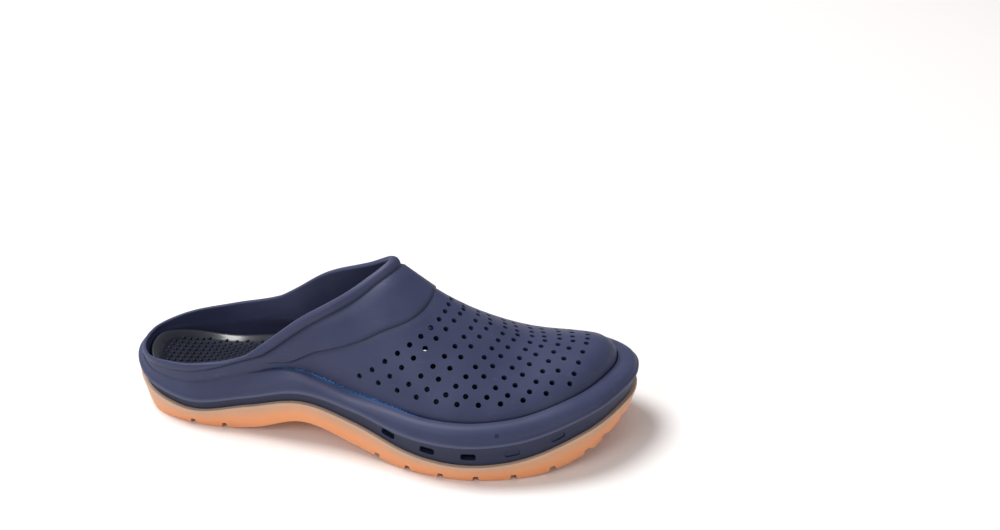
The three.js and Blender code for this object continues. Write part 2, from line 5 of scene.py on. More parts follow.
import bmesh
import bpy
import numpy as np
from mathutils import Euler, Matrix, Vector, noise
from mathutils.kdtree import KDTree


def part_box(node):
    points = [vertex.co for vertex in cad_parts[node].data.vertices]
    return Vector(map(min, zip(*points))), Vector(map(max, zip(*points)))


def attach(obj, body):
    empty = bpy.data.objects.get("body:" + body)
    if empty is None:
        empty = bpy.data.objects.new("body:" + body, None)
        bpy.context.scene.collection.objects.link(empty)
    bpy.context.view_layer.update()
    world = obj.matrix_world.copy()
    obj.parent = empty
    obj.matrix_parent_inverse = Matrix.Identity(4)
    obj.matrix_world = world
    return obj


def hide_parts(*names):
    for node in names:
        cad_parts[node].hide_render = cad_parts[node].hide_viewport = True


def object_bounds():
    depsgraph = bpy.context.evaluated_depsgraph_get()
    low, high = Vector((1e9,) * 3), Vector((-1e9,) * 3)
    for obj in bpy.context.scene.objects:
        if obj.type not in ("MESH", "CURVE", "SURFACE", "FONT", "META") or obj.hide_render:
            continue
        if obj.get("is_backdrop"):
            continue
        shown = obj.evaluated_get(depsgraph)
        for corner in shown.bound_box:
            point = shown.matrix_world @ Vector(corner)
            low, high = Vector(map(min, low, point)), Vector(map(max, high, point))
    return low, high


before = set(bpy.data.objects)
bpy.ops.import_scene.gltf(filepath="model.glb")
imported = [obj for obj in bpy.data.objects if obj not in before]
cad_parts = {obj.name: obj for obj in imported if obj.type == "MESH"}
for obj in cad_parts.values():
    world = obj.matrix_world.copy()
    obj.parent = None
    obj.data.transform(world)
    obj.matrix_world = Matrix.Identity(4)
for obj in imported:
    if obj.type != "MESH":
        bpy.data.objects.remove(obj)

MM = 0.001
cad_low, cad_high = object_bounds()


# ---- Studio -----------------------------------------------------------------------------------
# A pale table top and backdrop in one sheet, a large soft light overhead, a key from the left
# and a weak fill from the right. The camera looks down on the lateral side.
CAMERA_AZIMUTH = math.radians(11.6)
CAMERA_ELEVATION = math.radians(27.9)
CAMERA_PLACE = Vector((195.1, -619.7, 434.5)) * MM
CAMERA_LENS = 50.36
FLOOR_HALF = 3.0
FLOOR_DROP = 0.0002             # the sheet lies just under the soles
FLOOR_COLOUR = (0.93, 0.915, 0.91)
DAYLIGHT_COLOUR, DAYLIGHT_STRENGTH = (1.0, 0.99, 0.985), 0.36

camera_data = bpy.data.cameras.new("camera")
camera_data.lens = CAMERA_LENS
camera_data.sensor_width = 36
camera = bpy.data.objects.new("camera", camera_data)
camera.location = CAMERA_PLACE
camera.rotation_euler = Euler((math.radians(90) - CAMERA_ELEVATION, 0, CAMERA_AZIMUTH))
bpy.context.scene.collection.objects.link(camera)
bpy.context.scene.camera = camera
bpy.context.scene.view_settings.view_transform = "Standard"


def area_light(name, place, target, size, watts, colour):
    data = bpy.data.lights.new(name, "AREA")
    data.shape = "DISK"
    data.size = size
    data.energy = watts
    data.color = colour
    light = bpy.data.objects.new(name, data)
    light.location = place
    light.rotation_euler = (Vector(target) - Vector(place)).to_track_quat("-Z", "Y").to_euler()
    bpy.context.scene.collection.objects.link(light)


area_light("overhead", (-1.3, 0.4, 2.7), (0, 0.2, 0), 1.5, 86, (1.0, 0.995, 0.99))
area_light("key", (-0.8, -1.2, 1.1), (0, 0, 0.03), 0.9, 7, (1.0, 0.98, 0.97))
area_light("fill", (1.2, -0.9, 0.5), (0, 0, 0.03), 0.7, 2.5, (0.97, 0.98, 1.0))
world = bpy.data.worlds.new("studio")
world.use_nodes = True
world.node_tree.nodes["Background"].inputs["Color"].default_value = (*DAYLIGHT_COLOUR, 1)
world.node_tree.nodes["Background"].inputs["Strength"].default_value = DAYLIGHT_STRENGTH
bpy.context.scene.world = world


def finished_object(name, bm):
    """Turns a bmesh in metres into an object at the origin."""
    mesh = bpy.data.meshes.new(name)
    bm.to_mesh(mesh)
    bm.free()
    piece = bpy.data.objects.new(name, mesh)
    bpy.context.scene.collection.objects.link(piece)
    return piece


def new_material(name, roughness, specular):
    """A node material with its own Principled shader, and the node tree to add to."""
    material = bpy.data.materials.new(name)
    material.use_nodes = True
    shader = material.node_tree.nodes["Principled BSDF"]
    shader.inputs["Roughness"].default_value = roughness
    shader.inputs["Specular IOR Level"].default_value = specular
    return material, material.node_tree, shader


floor_bm = bmesh.new()
bmesh.ops.create_grid(floor_bm, x_segments=2, y_segments=2, size=FLOOR_HALF,
                      matrix=Matrix.Translation((0, 0, cad_low.z - FLOOR_DROP)))
floor = finished_object("table_top", floor_bm)
floor_material, _, floor_shader = new_material("pale_table", 0.6, 0.3)
floor_shader.inputs["Base Color"].default_value = (*FLOOR_COLOUR, 1)
floor.data.materials.append(floor_material)
floor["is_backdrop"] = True


# ---- Moulded upper ----------------------------------------------------------------------------
# Vamp, collar, rand, lower band and floor leave one mould as a single body of navy rubber with
# 3 mm walls. Its vamp is perforated, its collar edge is a thick rolled rim, and the band under
# the ridge line has drain slots, of which the front two are moulded shut.
LENGTH = 277.0
HEEL_WIDTH = 70.0
WAIST_WIDTH = 65.0
BALL_WIDTH = 107.0
TONGUE_HEIGHT = 95.0
TOE_BOX_HEIGHT = 52.5
HEEL_RIM_HEIGHT = 29.0
LATERAL_DIP = 4.0               # collar edge on the lateral side, below the medial side
WALL = 3.0
RAND_WALL = 5.0
FLOOR_THICKNESS = 3.2
RAND_INSET = 8.0
CREASE_DEPTH = 1.3
RIDGE_PROUD = 1.0
BAND_INSET = 1.1                # the lower band lies back under the ridge
RIM_BAND = 5.2                  # the rolled rim: how far down it reaches, stands out and rounds over
RIM_PROUD = 1.7
RIM_ROUND = 1.2
LIP_WALL, LIP_TAPER = 1.8, 10.0  # the wall thins towards its rolled edge
PANEL_PROUD = 0.8
TONGUE_STATION = 0.535
NOSE_LENGTH = 17.0              # the toe box rounds down to the crease over this length
CENTRE_Y, TOE_CENTRE_Y = 2.5, 12.0
STATIONS = 128                  # steps along the length on each side
AROUND = 2 * STATIONS
NAVY, PALE_NAVY, SCUFFED_NAVY = (0.036, 0.043, 0.098), (0.046, 0.053, 0.116), (0.105, 0.115, 0.19)
# Painted light: a shaded navy for the lower band under the ridge, a lit navy for the ridge line and a
# near-black painted shade for the crease and grooves.
SHADED_BAND_NAVY, RIDGE_HIGHLIGHT_NAVY, CREASE_SHADE = (0.015, 0.021, 0.05), (0.1, 0.11, 0.18), (0.012, 0.014, 0.035)
FLASH_BLUE = (0.03, 0.12, 0.32)
RUBBER_GRAIN = 1500             # noise scale of the moulded rubber's fine pebble


def smooth(*points):
    """Smooth curve through a few (station, value) points, level between equal ones and past its ends."""
    x, y = np.array(points, float).T
    slope = np.empty(len(x))
    for i in range(len(x)):
        a, b = max(i - 1, 0), min(i + 1, len(x) - 1)
        level = (a != i and y[a] == y[i]) or (b != i and y[b] == y[i])
        slope[i] = 0 if level else (y[b] - y[a]) / (x[b] - x[a])

    def at(s):
        s = np.clip(s, x[0], x[-1])
        i = np.clip(np.searchsorted(x, s) - 1, 0, len(x) - 2)
        width = x[i + 1] - x[i]
        t = (s - x[i]) / width
        u = 1 - t
        ends = y[i] * (1 + 2 * t) * u * u + y[i + 1] * (3 - 2 * t) * t * t
        return ends + width * (slope[i] * t * u * u - slope[i + 1] * t * t * u)

    return at


# Outline in plan: a closed centripetal curve through points at shares of the length and half widths.
heel, waist, ball = HEEL_WIDTH / 2, WAIST_WIDTH / 2, BALL_WIDTH / 2
LATERAL = [
    (-0.5, 0.07 * heel), (-0.48, -0.35 * heel), (-0.44, -0.68 * heel), (-0.36, -0.91 * heel),
    (-0.23, -1.03 * waist), (-0.1, -1.12 * waist), (0.02, -0.82 * ball), (0.13, -0.98 * ball),
    (0.22, -ball), (0.31, -0.88 * ball), (0.38, -0.69 * ball), (0.44, -0.41 * ball), (0.48, -0.06 * ball),
]
MEDIAL = [
    (0.5, 0.27 * ball), (0.49, 0.61 * ball), (0.44, 0.86 * ball), (0.36, 0.99 * ball), (0.26, ball),
    (0.16, 0.9 * ball), (0.06, 0.72 * ball), (-0.05, 0.97 * waist), (-0.16, waist), (-0.27, 1.06 * heel),
    (-0.37, 1.08 * heel), (-0.45, 0.9 * heel), (-0.495, 0.53 * heel),
]
corners = np.array([(x * LENGTH, y) for x, y in LATERAL + MEDIAL])


def outline(t):
    """Point of the closed outline; t runs once from 0 to 1 round the clog."""
    u = (t % 1.0) * len(corners)
    i = int(u)
    p0, p1, p2, p3 = (corners[(i + j) % len(corners)] for j in (-1, 0, 1, 2))
    d0, d1, d2 = (math.sqrt(np.linalg.norm(b - a)) for a, b in ((p0, p1), (p1, p2), (p2, p3)))
    m1 = ((p1 - p0) / d0 - (p2 - p0) / (d0 + d1) + (p2 - p1) / d1) * d1
    m2 = ((p2 - p1) / d1 - (p3 - p1) / (d1 + d2) + (p3 - p2) / d2) * d1
    w = u - i
    a, b = 2 * p1 - 2 * p2 + m1 + m2, -3 * p1 + 3 * p2 - 2 * m1 - m2
    return ((a * w + b) * w + m1) * w + p1


def tip(t, sign):
    """Parameter of the outline's rearmost (sign -1) or foremost (sign 1) point near t."""
    step = 0.02
    while step > 1e-6:
        t = max((t - step, t, t + step), key=lambda v: sign * outline(v)[0])
        step /= 2 ** 0.5
    return t


def outline_at(x, side):
    """Parameter of the outline at x, on side -1 (lateral) or 1 (medial)."""
    low, high = (HEEL_T, TOE_T) if side < 0 else (TOE_T, HEEL_T + 1)
    for _ in range(40):
        mid = (low + high) / 2
        if (outline(mid)[0] < x) == (side < 0):
            low = mid
        else:
            high = mid
    return (low + high) / 2


HEEL_T = tip(0.0, -1)
TOE_T = tip(len(LATERAL) / len(corners), 1)
HEEL_X, TOE_X = outline(HEEL_T)[0], outline(TOE_T)[0]
ring_t = []
for k in range(AROUND):
    along_length = (1 - math.cos(math.pi * min(k, AROUND - k) / STATIONS)) / 2
    ring_x = HEEL_X + (TOE_X - HEEL_X) * along_length
    if k in (0, STATIONS):
        ring_t.append(TOE_T if k else HEEL_T)
    else:
        ring_t.append(outline_at(ring_x, -1 if k < STATIONS else 1))
ring_base = np.array([outline(t) for t in ring_t])
ring_tangent = np.array([outline(t + 1e-4) - outline(t - 1e-4) for t in ring_t])
ring_normal = np.stack([ring_tangent[:, 1], -ring_tangent[:, 0]], 1)
ring_normal /= np.linalg.norm(ring_normal, axis=1)[:, None]
ring_station = ring_base[:, 0] / LENGTH + 0.5
side_of = np.where(np.arange(AROUND) <= STATIONS, -1, 1)

# Heights along the length, by station: 0 at the heel and 1 at the toe.
joint_line = smooth((0, 19), (0.07, 13.5), (0.16, 10.5), (0.27, 17.5), (0.38, 25), (0.49, 20.5),
                    (0.59, 13), (0.7, 10), (0.81, 12), (0.92, 20), (1, 25))
band_height = smooth((0, 7), (0.27, 6.3), (0.4, 7.2), (0.59, 10.8), (0.7, 12.4), (0.81, 12.5), (1, 10))
shoulder_height = smooth((0, 2), (0.07, 6.5), (0.16, 11), (0.27, 12.7), (0.34, 11), (0.42, 6),
                         (0.49, 4.6), (0.59, 8), (0.81, 8.8), (1, 5))
crease_inset = smooth((0, 2.2), (0.16, 2.4), (0.27, 0.55 * RAND_INSET), (0.34, 0.9 * RAND_INSET),
                      (0.42, RAND_INSET), (0.81, 1.08 * RAND_INSET), (1, 1.35 * RAND_INSET))
crease_fade = smooth((0.26, 0), (0.36, 1))
rim_fade = smooth((0.1, 0.3), (0.32, 1))
panel_fade = smooth((0.3, 0), (0.38, 1))
collar_edge = smooth((0, HEEL_RIM_HEIGHT), (0.07, HEEL_RIM_HEIGHT + 4), (0.16, HEEL_RIM_HEIGHT + 9.5),
                     (0.27, HEEL_RIM_HEIGHT + 21), (0.38, 0.76 * TONGUE_HEIGHT),
                     (0.48, 0.9 * TONGUE_HEIGHT), (TONGUE_STATION, TONGUE_HEIGHT))
lateral_dip = smooth((0.1, 0), (0.3, LATERAL_DIP), (0.5, 0))
vamp_top = smooth((0, 1.3 * TONGUE_HEIGHT), (0.25, 1.22 * TONGUE_HEIGHT), (0.4, 1.1 * TONGUE_HEIGHT),
                  (0.48, 1.02 * TONGUE_HEIGHT), (TONGUE_STATION, TONGUE_HEIGHT),
                  (0.58, 0.91 * TONGUE_HEIGHT), (0.63, 0.8 * TONGUE_HEIGHT), (0.7, 0.68 * TONGUE_HEIGHT),
                  (0.79, 1.04 * TOE_BOX_HEIGHT), (0.88, TOE_BOX_HEIGHT), (1, 1.01 * TOE_BOX_HEIGHT))
spine_y = smooth((0, CENTRE_Y + 1), (0.7, CENTRE_Y + 2), (1, TOE_CENTRE_Y))
squareness = smooth((0.3, 2.4), (0.41, 1.9), (0.52, 1.52), (0.7, 1.58), (1, 1.75))
# Station of the collar panel's front edge, by share of the way from the crease to the centre line.
panel_line = smooth((0, 0.345), (0.3, 0.473), (0.55, 0.573), (0.75, 0.609), (1, 0.615))


def ridge_line(s):
    return joint_line(s) + band_height(s)


def crease_line(s):
    return ridge_line(s) + shoulder_height(s)


def floor_top(s):
    return joint_line(s) + FLOOR_THICKNESS


def ring_at(inset, height):
    """Ring at an inset from the outline; both are values for each ring point."""
    plan = ring_base - ring_normal * np.broadcast_to(inset, AROUND)[:, None]
    return np.column_stack([plan, np.broadcast_to(height, AROUND)])


def flat_ring(inset, height):
    """The same, with the height read at each point's own x, so that straight rungs can cap it."""
    ring = ring_at(inset, 0)
    ring[:, 2] = height(ring[:, 0] / LENGTH + 0.5)
    return ring


def two_sides(ring):
    """A ring's lateral and medial halves, each from the heel to the toe."""
    return ring[:STATIONS + 1], np.vstack([ring[:1], ring[:STATIONS - 1:-1]])


crease_ring = ring_at(crease_inset(ring_station), crease_line(ring_station))
lateral_crease, medial_crease = two_sides(crease_ring)
crease_toe = crease_ring[STATIONS]
TURN_X = 0.3 * LENGTH           # from here the vamp's centre line turns towards the toe


def centre_y(x):
    """The vamp's centre line in plan: along the spine, then curving to the toe of the crease."""
    turn = np.clip((x - TURN_X) / (crease_toe[0] - TURN_X), 0, 1) ** 2
    middle = spine_y(x / LENGTH + 0.5)
    return middle + (crease_toe[1] - middle) * turn


def crease_y(x, side):
    """Where the crease lies at x, on the given side."""
    line = lateral_crease if side < 0 else medial_crease
    return np.interp(x, line[:, 0], line[:, 1])


def arch_point(x, angle, side):
    """Point of the vamp and collar surface: angle 0 at the crease, a right angle on the centre line."""
    s = x / LENGTH + 0.5
    power = 2 / squareness(s)
    nose = np.clip((x - (crease_toe[0] - NOSE_LENGTH)) / NOSE_LENGTH, 0, None)
    rise = (vamp_top(s) - crease_line(s)) * np.sqrt(np.clip(1 - nose ** 3, 0, None))
    across = np.clip(np.cos(angle), 0, 1) ** power
    up = np.clip(np.sin(angle), 0, 1) ** power
    y = centre_y(x) + (crease_y(x, side) - centre_y(x)) * across
    return np.stack(np.broadcast_arrays(x, y, crease_line(s) + rise * up), -1)


def arch_normal(x, angle, side):
    """Outward normal of that surface, by short steps either way and clear of its poles."""
    a = np.clip(angle, 0.03, 0.97 * math.pi / 2)
    x = np.minimum(x, crease_toe[0] - 0.6)
    along = arch_point(x + 0.5, a, side) - arch_point(x - 0.5, a, side)
    across = arch_point(x, a + 0.02, side) - arch_point(x, a - 0.02, side)
    normal = np.cross(along, across) * -side
    return normal / np.linalg.norm(normal, axis=-1, keepdims=True)


def edge_angle(x, side):
    """Angle at which the arched section at x meets the collar edge."""
    s = x / LENGTH + 0.5
    rise = vamp_top(s) - crease_line(s)
    edge = collar_edge(s) - (lateral_dip(s) if side < 0 else 0)
    part = np.clip((edge - crease_line(s)) / rise, 0, 1)
    return np.arcsin(part ** (squareness(s) / 2))


def runs(points):
    """Running length along a line of points."""
    return np.concatenate([[0], np.cumsum(np.linalg.norm(np.diff(points, axis=0), axis=1))])


EDGE_STEPS = 800                # points along the collar edge, and up each line from crease to edge
LINE_STEPS = 161
FAN_LEAD, FAN_REACH = 4.0, 36.0  # a line that leans back past the lead turns to follow the plan
tongue_x = (TONGUE_STATION - 0.5) * LENGTH
edge_part = np.sin(np.linspace(0, math.pi / 2, EDGE_STEPS))
edge_x = crease_ring[0, 0] + (tongue_x - crease_ring[0, 0]) * edge_part
edge_turn = {side: np.append(edge_angle(edge_x[:-1], side), math.pi / 2) for side in (-1, 1)}
edge_runs = {side: runs(arch_point(edge_x, edge_turn[side], side)) for side in (-1, 1)}
outline_run = dict(zip((-1, 1), map(runs, two_sides(ring_base))))


def meridian(k):
    """Line up the surface from the crease at ring point k to the collar edge: x and angle along it."""
    side = side_of[k]
    place = k if side < 0 else AROUND - k
    whole, total = outline_run[side][-1], edge_runs[side][-1]
    share = outline_run[side][place] / whole
    run = min(total, share * (whole - (whole - total) * share))
    end_x = np.interp(run, edge_runs[side], edge_x)
    end_angle = np.interp(run, edge_runs[side], edge_turn[side])
    start, goal = crease_ring[k], arch_point(end_x, end_angle, side)
    start_away, goal_away = start[1] - centre_y(start[0]), goal[1] - centre_y(goal[0])
    front = np.clip((start[0] - end_x - FAN_LEAD) / FAN_REACH, 0, 1)
    front = front * front * (3 - 2 * front)
    t = np.linspace(0, 1, LINE_STEPS)
    mix = (1 - np.cos(t * math.pi / 2) + t) / 2
    x = start[0] + (goal[0] - start[0]) * (front * mix + (1 - front) * t)
    reach = crease_y(x, side) - centre_y(x)
    reach = np.where(np.abs(reach) < 1e-6, side, reach)
    width = np.clip((start_away + (goal_away - start_away) * mix) / reach, 0, 1)
    plan_angle = np.arccos(width ** (squareness(x / LENGTH + 0.5) / 2))
    angle = front * plan_angle + (1 - front) * end_angle * t
    angle[-1] = end_angle
    return x, angle


def evened(values, reach):
    """Values round the ring, each averaged with its neighbours."""
    spread = np.exp(-(np.arange(-2 * reach, 2 * reach + 1) / reach) ** 2)
    around = np.concatenate([values[-2 * reach:], values, values[:2 * reach]])
    return np.apply_along_axis(lambda line: np.convolve(line, spread / spread.sum(), "valid"), 0, around)


# Between waist and toe each line is evened with its neighbours, most of all halfway up.
LINE_REACH, PANEL_REACH = 6, 5
line_x, line_angle = (np.array(lines) for lines in zip(*(meridian(k) for k in range(AROUND))))
hold = smooth((0.15, 0), (0.25, 1), (0.7, 1), (0.8, 0))(ring_station)[:, None]
hold = hold * np.sin(math.pi * np.linspace(0, 1, line_x.shape[1])) ** 0.5
line_x += hold * (evened(line_x, LINE_REACH) - line_x)
line_angle += hold * (evened(line_angle, LINE_REACH) - line_angle)
meridians, panel_starts = [], []
for k in range(AROUND):
    run = runs(arch_point(line_x[k], line_angle[k], side_of[k]))
    on_panel = line_x[k] / LENGTH + 0.5 < panel_line(line_angle[k] / (math.pi / 2))
    meridians.append((run, line_x[k], line_angle[k]))
    panel_starts.append(run[np.argmax(on_panel)])
# Runs up each line to its end, the rim band and the panel's edge; all shrink where the collar is low.
full_run = np.array([line[0][-1] for line in meridians])
band_run = full_run - RIM_BAND * full_run / (full_run + 5)
panel_run = evened(np.clip(np.array(panel_starts), 0.15 * full_run, 0.9 * band_run), PANEL_REACH)
step_run = 0.45 * full_run / (full_run + 12)


def surface_ring(run):
    """Points and outward normals of the surface at the given runs up their meridians."""
    points, normals = [], []
    for k, (r, line) in enumerate(zip(run, meridians)):
        x, angle = np.interp(r, line[0], line[1]), np.interp(r, line[0], line[2])
        points.append(arch_point(x, angle, side_of[k]))
        normals.append(arch_normal(x, angle, side_of[k]))
    # The two sides meet on the centre line at the toe, where their normals are evened out.
    normals[STATIONS] = (normals[STATIONS - 1] + normals[STATIONS + 1]) / 2
    return np.array(points), np.array(normals)


def cap_ring(bm, edges):
    """Closes a ring with straight rungs from its lateral to its medial half."""
    halves = edges[1:STATIONS - 1] + edges[STATIONS + 1:AROUND - 1]
    bmesh.ops.bridge_loops(bm, edges=halves)
    open_edges = [e for e in edges if len(e.link_faces) < 2]
    rest = [e for e in bm.edges if len(e.link_faces) == 1 and e not in open_edges]
    bmesh.ops.holes_fill(bm, edges=open_edges + rest, sides=4)


def drawn_out(bm, verts, edges, points):
    """Extrudes a line of edges onto new points and returns the new vertices in the same order."""
    made = bmesh.ops.extrude_edge_only(bm, edges=edges)
    new = {v for v in made["geom"] if isinstance(v, bmesh.types.BMVert)}
    verts = [next(e.other_vert(v) for e in v.link_edges if e.other_vert(v) in new) for v in verts]
    for v, p in zip(verts, points + SHIFT):
        v.co = Vector(p) * MM
    return verts


def ring_body(name, rings):
    """One closed body: each ring is drawn out to the next, and the first and last are capped."""
    bm = bmesh.new()
    verts = [bm.verts.new(Vector(p) * MM) for p in rings[0] + SHIFT]
    edges = [bm.edges.new(pair) for pair in zip(verts, verts[1:] + verts[:1])]
    first = edges
    for ring in rings[1:]:
        verts = drawn_out(bm, verts, edges, ring)
        edges = [bm.edges.get(pair) for pair in zip(verts, verts[1:] + verts[:1])]
    cap_ring(bm, first)
    cap_ring(bm, edges)
    bmesh.ops.recalc_face_normals(bm, faces=bm.faces[:])
    return finished_object(name, bm)


# The outline's own box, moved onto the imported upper's.
upper_low, upper_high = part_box("upper_shell")
widest = ring_at(-RIDGE_PROUD, 0)
plan_low, plan_high = widest.min(0), widest.max(0)
SHIFT = np.array((*((np.array(upper_low[:2]) + upper_high[:2]) / 2 / MM), 0))
SHIFT -= np.array((*((plan_low[:2] + plan_high[:2]) / 2), 0))

# Rings of the lower band and the ridge line. The suffix _c is for values at the crease.
joint_z, ridge_z, crease_z = joint_line(ring_station), ridge_line(ring_station), crease_line(ring_station)
inset_c = crease_inset(ring_station)
fade_c = crease_fade(ring_station)
low_rings = [
    flat_ring(BAND_INSET + 0.7, joint_line),
    ring_at(BAND_INSET + 0.4, joint_z + 0.1),
    ring_at(BAND_INSET + 0.3, joint_z + 0.5),
    ring_at(BAND_INSET, joint_z + 0.5 * (ridge_z - joint_z)),
    ring_at(0.75 * BAND_INSET, ridge_z - 1.7),
    ring_at(0.6 * BAND_INSET, ridge_z - 1.1),
    ring_at(-0.85 * RIDGE_PROUD, ridge_z - 0.75),
    ring_at(-RIDGE_PROUD, ridge_z - 0.4),
    ring_at(-RIDGE_PROUD, ridge_z),
    ring_at(-0.85 * RIDGE_PROUD, ridge_z + 0.35),
    ring_at(-0.2 * RIDGE_PROUD, ridge_z + 0.6),
]
# The shoulder rounds over into the crease along the vamp and stays flat round the heel. A soft bead
# thickens it over the arch.
SHOULDER_STEPS = 10
arch_bead = smooth((0.24, 0), (0.3, 0.7), (0.38, 0.7), (0.44, 0))(ring_station)
for i in range(1, SHOULDER_STEPS):
    part = i / SHOULDER_STEPS
    roll = (1 - fade_c) * part + fade_c * (1 - math.cos(math.pi / 2 * part) ** 0.9)
    lift = (1 - fade_c) * part + fade_c * math.sin(math.pi / 2 * part) ** 0.9
    bead = arch_bead * max(0, 1 - abs(i - 4) / 2)
    low_rings.append(ring_at((0.03 + 0.85 * roll) * inset_c - bead,
                             ridge_z + 0.8 + (crease_z - ridge_z - 0.9) * lift))
plain_c = 1 - fade_c
low_rings.append(ring_at(inset_c - 0.5 + 0.3 * plain_c, crease_z - 0.15 * fade_c - 0.65 * plain_c))
low_rings.append(ring_at(inset_c - 0.2 + 0.1 * plain_c,
                         crease_z - 0.75 * CREASE_DEPTH * fade_c - 0.4 * plain_c))
low_rings.append(ring_at(inset_c + 0.1 - 0.15 * plain_c, crease_z - CREASE_DEPTH * fade_c - 0.15 * plain_c))
low_rings.append(ring_at(inset_c + 0.2 - 0.2 * plain_c, crease_z - 0.4 * fade_c + 0.05 * plain_c))

# Rings of the outer skin: the perforated vamp, the step up onto the collar panel, then the panel.
VAMP_RINGS = 20
between = panel_run + step_run, band_run - 0.5 * step_run
panel_share = np.clip((panel_run / full_run - 0.16) / 0.14, 0, 1)
from_centre = (np.arange(AROUND) - STATIONS) / 8
fade_panel = panel_fade(ring_station) * panel_share * PANEL_PROUD * (1 - 0.5 * np.exp(-from_centre ** 2))
fade_rim = rim_fade(ring_station) * RIM_PROUD
skin_runs = [f * (panel_run - 2.5 * step_run) for f in np.linspace(0.02, 1, VAMP_RINGS)]
skin_runs.append(panel_run - step_run)
skin_proud = [0 * fade_panel] * VAMP_RINGS + [-0.35 * fade_panel]
for part, proud in ((0.0, 0.75), (0.03, 1.0), (0.1, 1.0), (0.35, 1.0), (0.65, 1.0), (0.88, 0.9), (1.0, 0.35)):
    skin_runs.append(between[0] + part * (between[1] - between[0]))
    skin_proud.append(proud * fade_panel)
# The rim is a bead: round across its band, with a shallow valley below it.
skin_proud[-1] = -0.25 * fade_rim
for part in (0.0, 0.06, 0.14, 0.25, 0.38, 0.52, 0.66, 0.8, 0.92, 1.0):
    skin_runs.append(band_run + step_run + part * (full_run - band_run - step_run))
    skin_proud.append(math.sin(math.pi * (0.06 + 0.64 * part)) * fade_rim)
surfaces = [surface_ring(run) for run in skin_runs]
skin, normals = zip(*surfaces)
outer = [ring + n * d[:, None] for ring, n, d in zip(skin, normals, skin_proud)]
# The rolled edge, then the inner wall, the inside of the rand and the floor under the footbed.
upward = skin[-1] - surface_ring(full_run - np.minimum(1, 0.1 * full_run))[0]
upward /= np.linalg.norm(upward, axis=1)[:, None]
crown = []
CROWN_STEPS = 10
half = (skin_proud[-1][:, None] + LIP_WALL) / 2
for i in range(1, CROWN_STEPS):
    turn = math.pi * i / CROWN_STEPS
    crown.append(skin[-1] + normals[-1] * (half * math.cos(turn) + half - LIP_WALL)
                 + upward * RIM_ROUND * math.sin(turn) ** 0.8)
inner = []
for r in range(len(skin) - 1, 0, -2):
    thinned = np.clip(1 - (full_run - skin_runs[r]) / LIP_TAPER, 0, 1) * (WALL - LIP_WALL)
    inner.append(skin[r] - normals[r] * (WALL - thinned)[:, None])
inside = [
    ring_at(inset_c + WALL, crease_z - 1.5),
    ring_at(RAND_WALL + 0.5 * (inset_c + WALL - RAND_WALL),
            floor_top(ring_station) + 0.7 * (crease_z - floor_top(ring_station))),
    ring_at(RAND_WALL, floor_top(ring_station) + 0.45 * (crease_z - floor_top(ring_station))),
    flat_ring(RAND_WALL + 0.2, floor_top),
]
upper = ring_body("clog_upper", [*low_rings, *outer, *crown, *inner, *inside])


def surface_frame(s, share, side):
    """Point and outward normal of the vamp at a station and a share of the way to the centre line."""
    x, angle = (s - 0.5) * LENGTH, share * math.pi / 2
    return arch_point(x, angle, side), arch_normal(x, angle, side)


def peg(bm, at, radius, depth, sides):
    """Adds a straight round peg to a cutter; at is its place and turn in metres."""
    bmesh.ops.create_cone(bm, cap_ends=True, segments=sides, radius1=radius * MM, radius2=radius * MM,
                          depth=depth * MM, matrix=at)


def slope(line, s, step=0.02):
    """How steeply a height rises along the clog at a station, as an angle."""
    return math.atan((line(s + step) - line(s - step)) / (2 * step * LENGTH))


def carve(piece, cutter):
    """Cuts one object out of another and keeps the result as its mesh."""
    modifier = piece.modifiers.new("cut", "BOOLEAN")
    modifier.object = cutter
    modifier.solver = "MANIFOLD"
    cut = bpy.data.meshes.new_from_object(piece.evaluated_get(bpy.context.evaluated_depsgraph_get()))
    piece.modifiers.clear()
    old = piece.data
    piece.data = cut
    bpy.data.meshes.remove(old)
    bpy.data.objects.remove(cutter)


# Perforations: straight round holes in rows that fan from the collar panel to the toe. Each row runs
# from low on the flank to the centre line, and every second one has a hole on it.
HOLE_RADIUS = 1.45
HOLE_ROWS = (10, 10, 9, 9, 9, 9, 8, 8, 7, 6, 5)  # holes on one side in each row, from the panel on
ROW_LOW_STATION, ROW_LOW_STEP = 0.5, 0.039
ROW_HIGH_STATION, ROW_HIGH_STEP = 0.645, 0.026
HALF_PITCH_SHARE = 0.92
HOLE_SIDES = 18
holes = bmesh.new()
for row, count in enumerate(HOLE_ROWS):
    on_centre = row % 2 == 1
    first = 0.16 + 0.2 * (row / len(HOLE_ROWS)) ** 1.6
    last = 1.0 if on_centre else HALF_PITCH_SHARE
    bow = 1 - 0.06 * row
    for i in range(count):
        f = i / (count - 1)
        share = first + (last - first) * f ** 1.1
        low, high = ROW_LOW_STATION + row * ROW_LOW_STEP, ROW_HIGH_STATION + row * ROW_HIGH_STEP
        s = low + (high - low) * ((1 - bow) * f + bow * math.sin(f * math.pi / 2))
        for side in (-1,) if on_centre and i == count - 1 else (-1, 1):
            place, normal = surface_frame(s, share, side)
            turn = Vector((0, 0, 1)).rotation_difference(Vector(normal)).to_matrix().to_4x4()
            at = (Matrix.Translation(Vector(place + SHIFT) * MM) @ turn
                  @ Matrix.Translation((0, 0, -0.5 * WALL * MM)))
            peg(holes, at, HOLE_RADIUS, 3 * WALL, HOLE_SIDES)
carve(upper, finished_object("hole_pegs", holes))

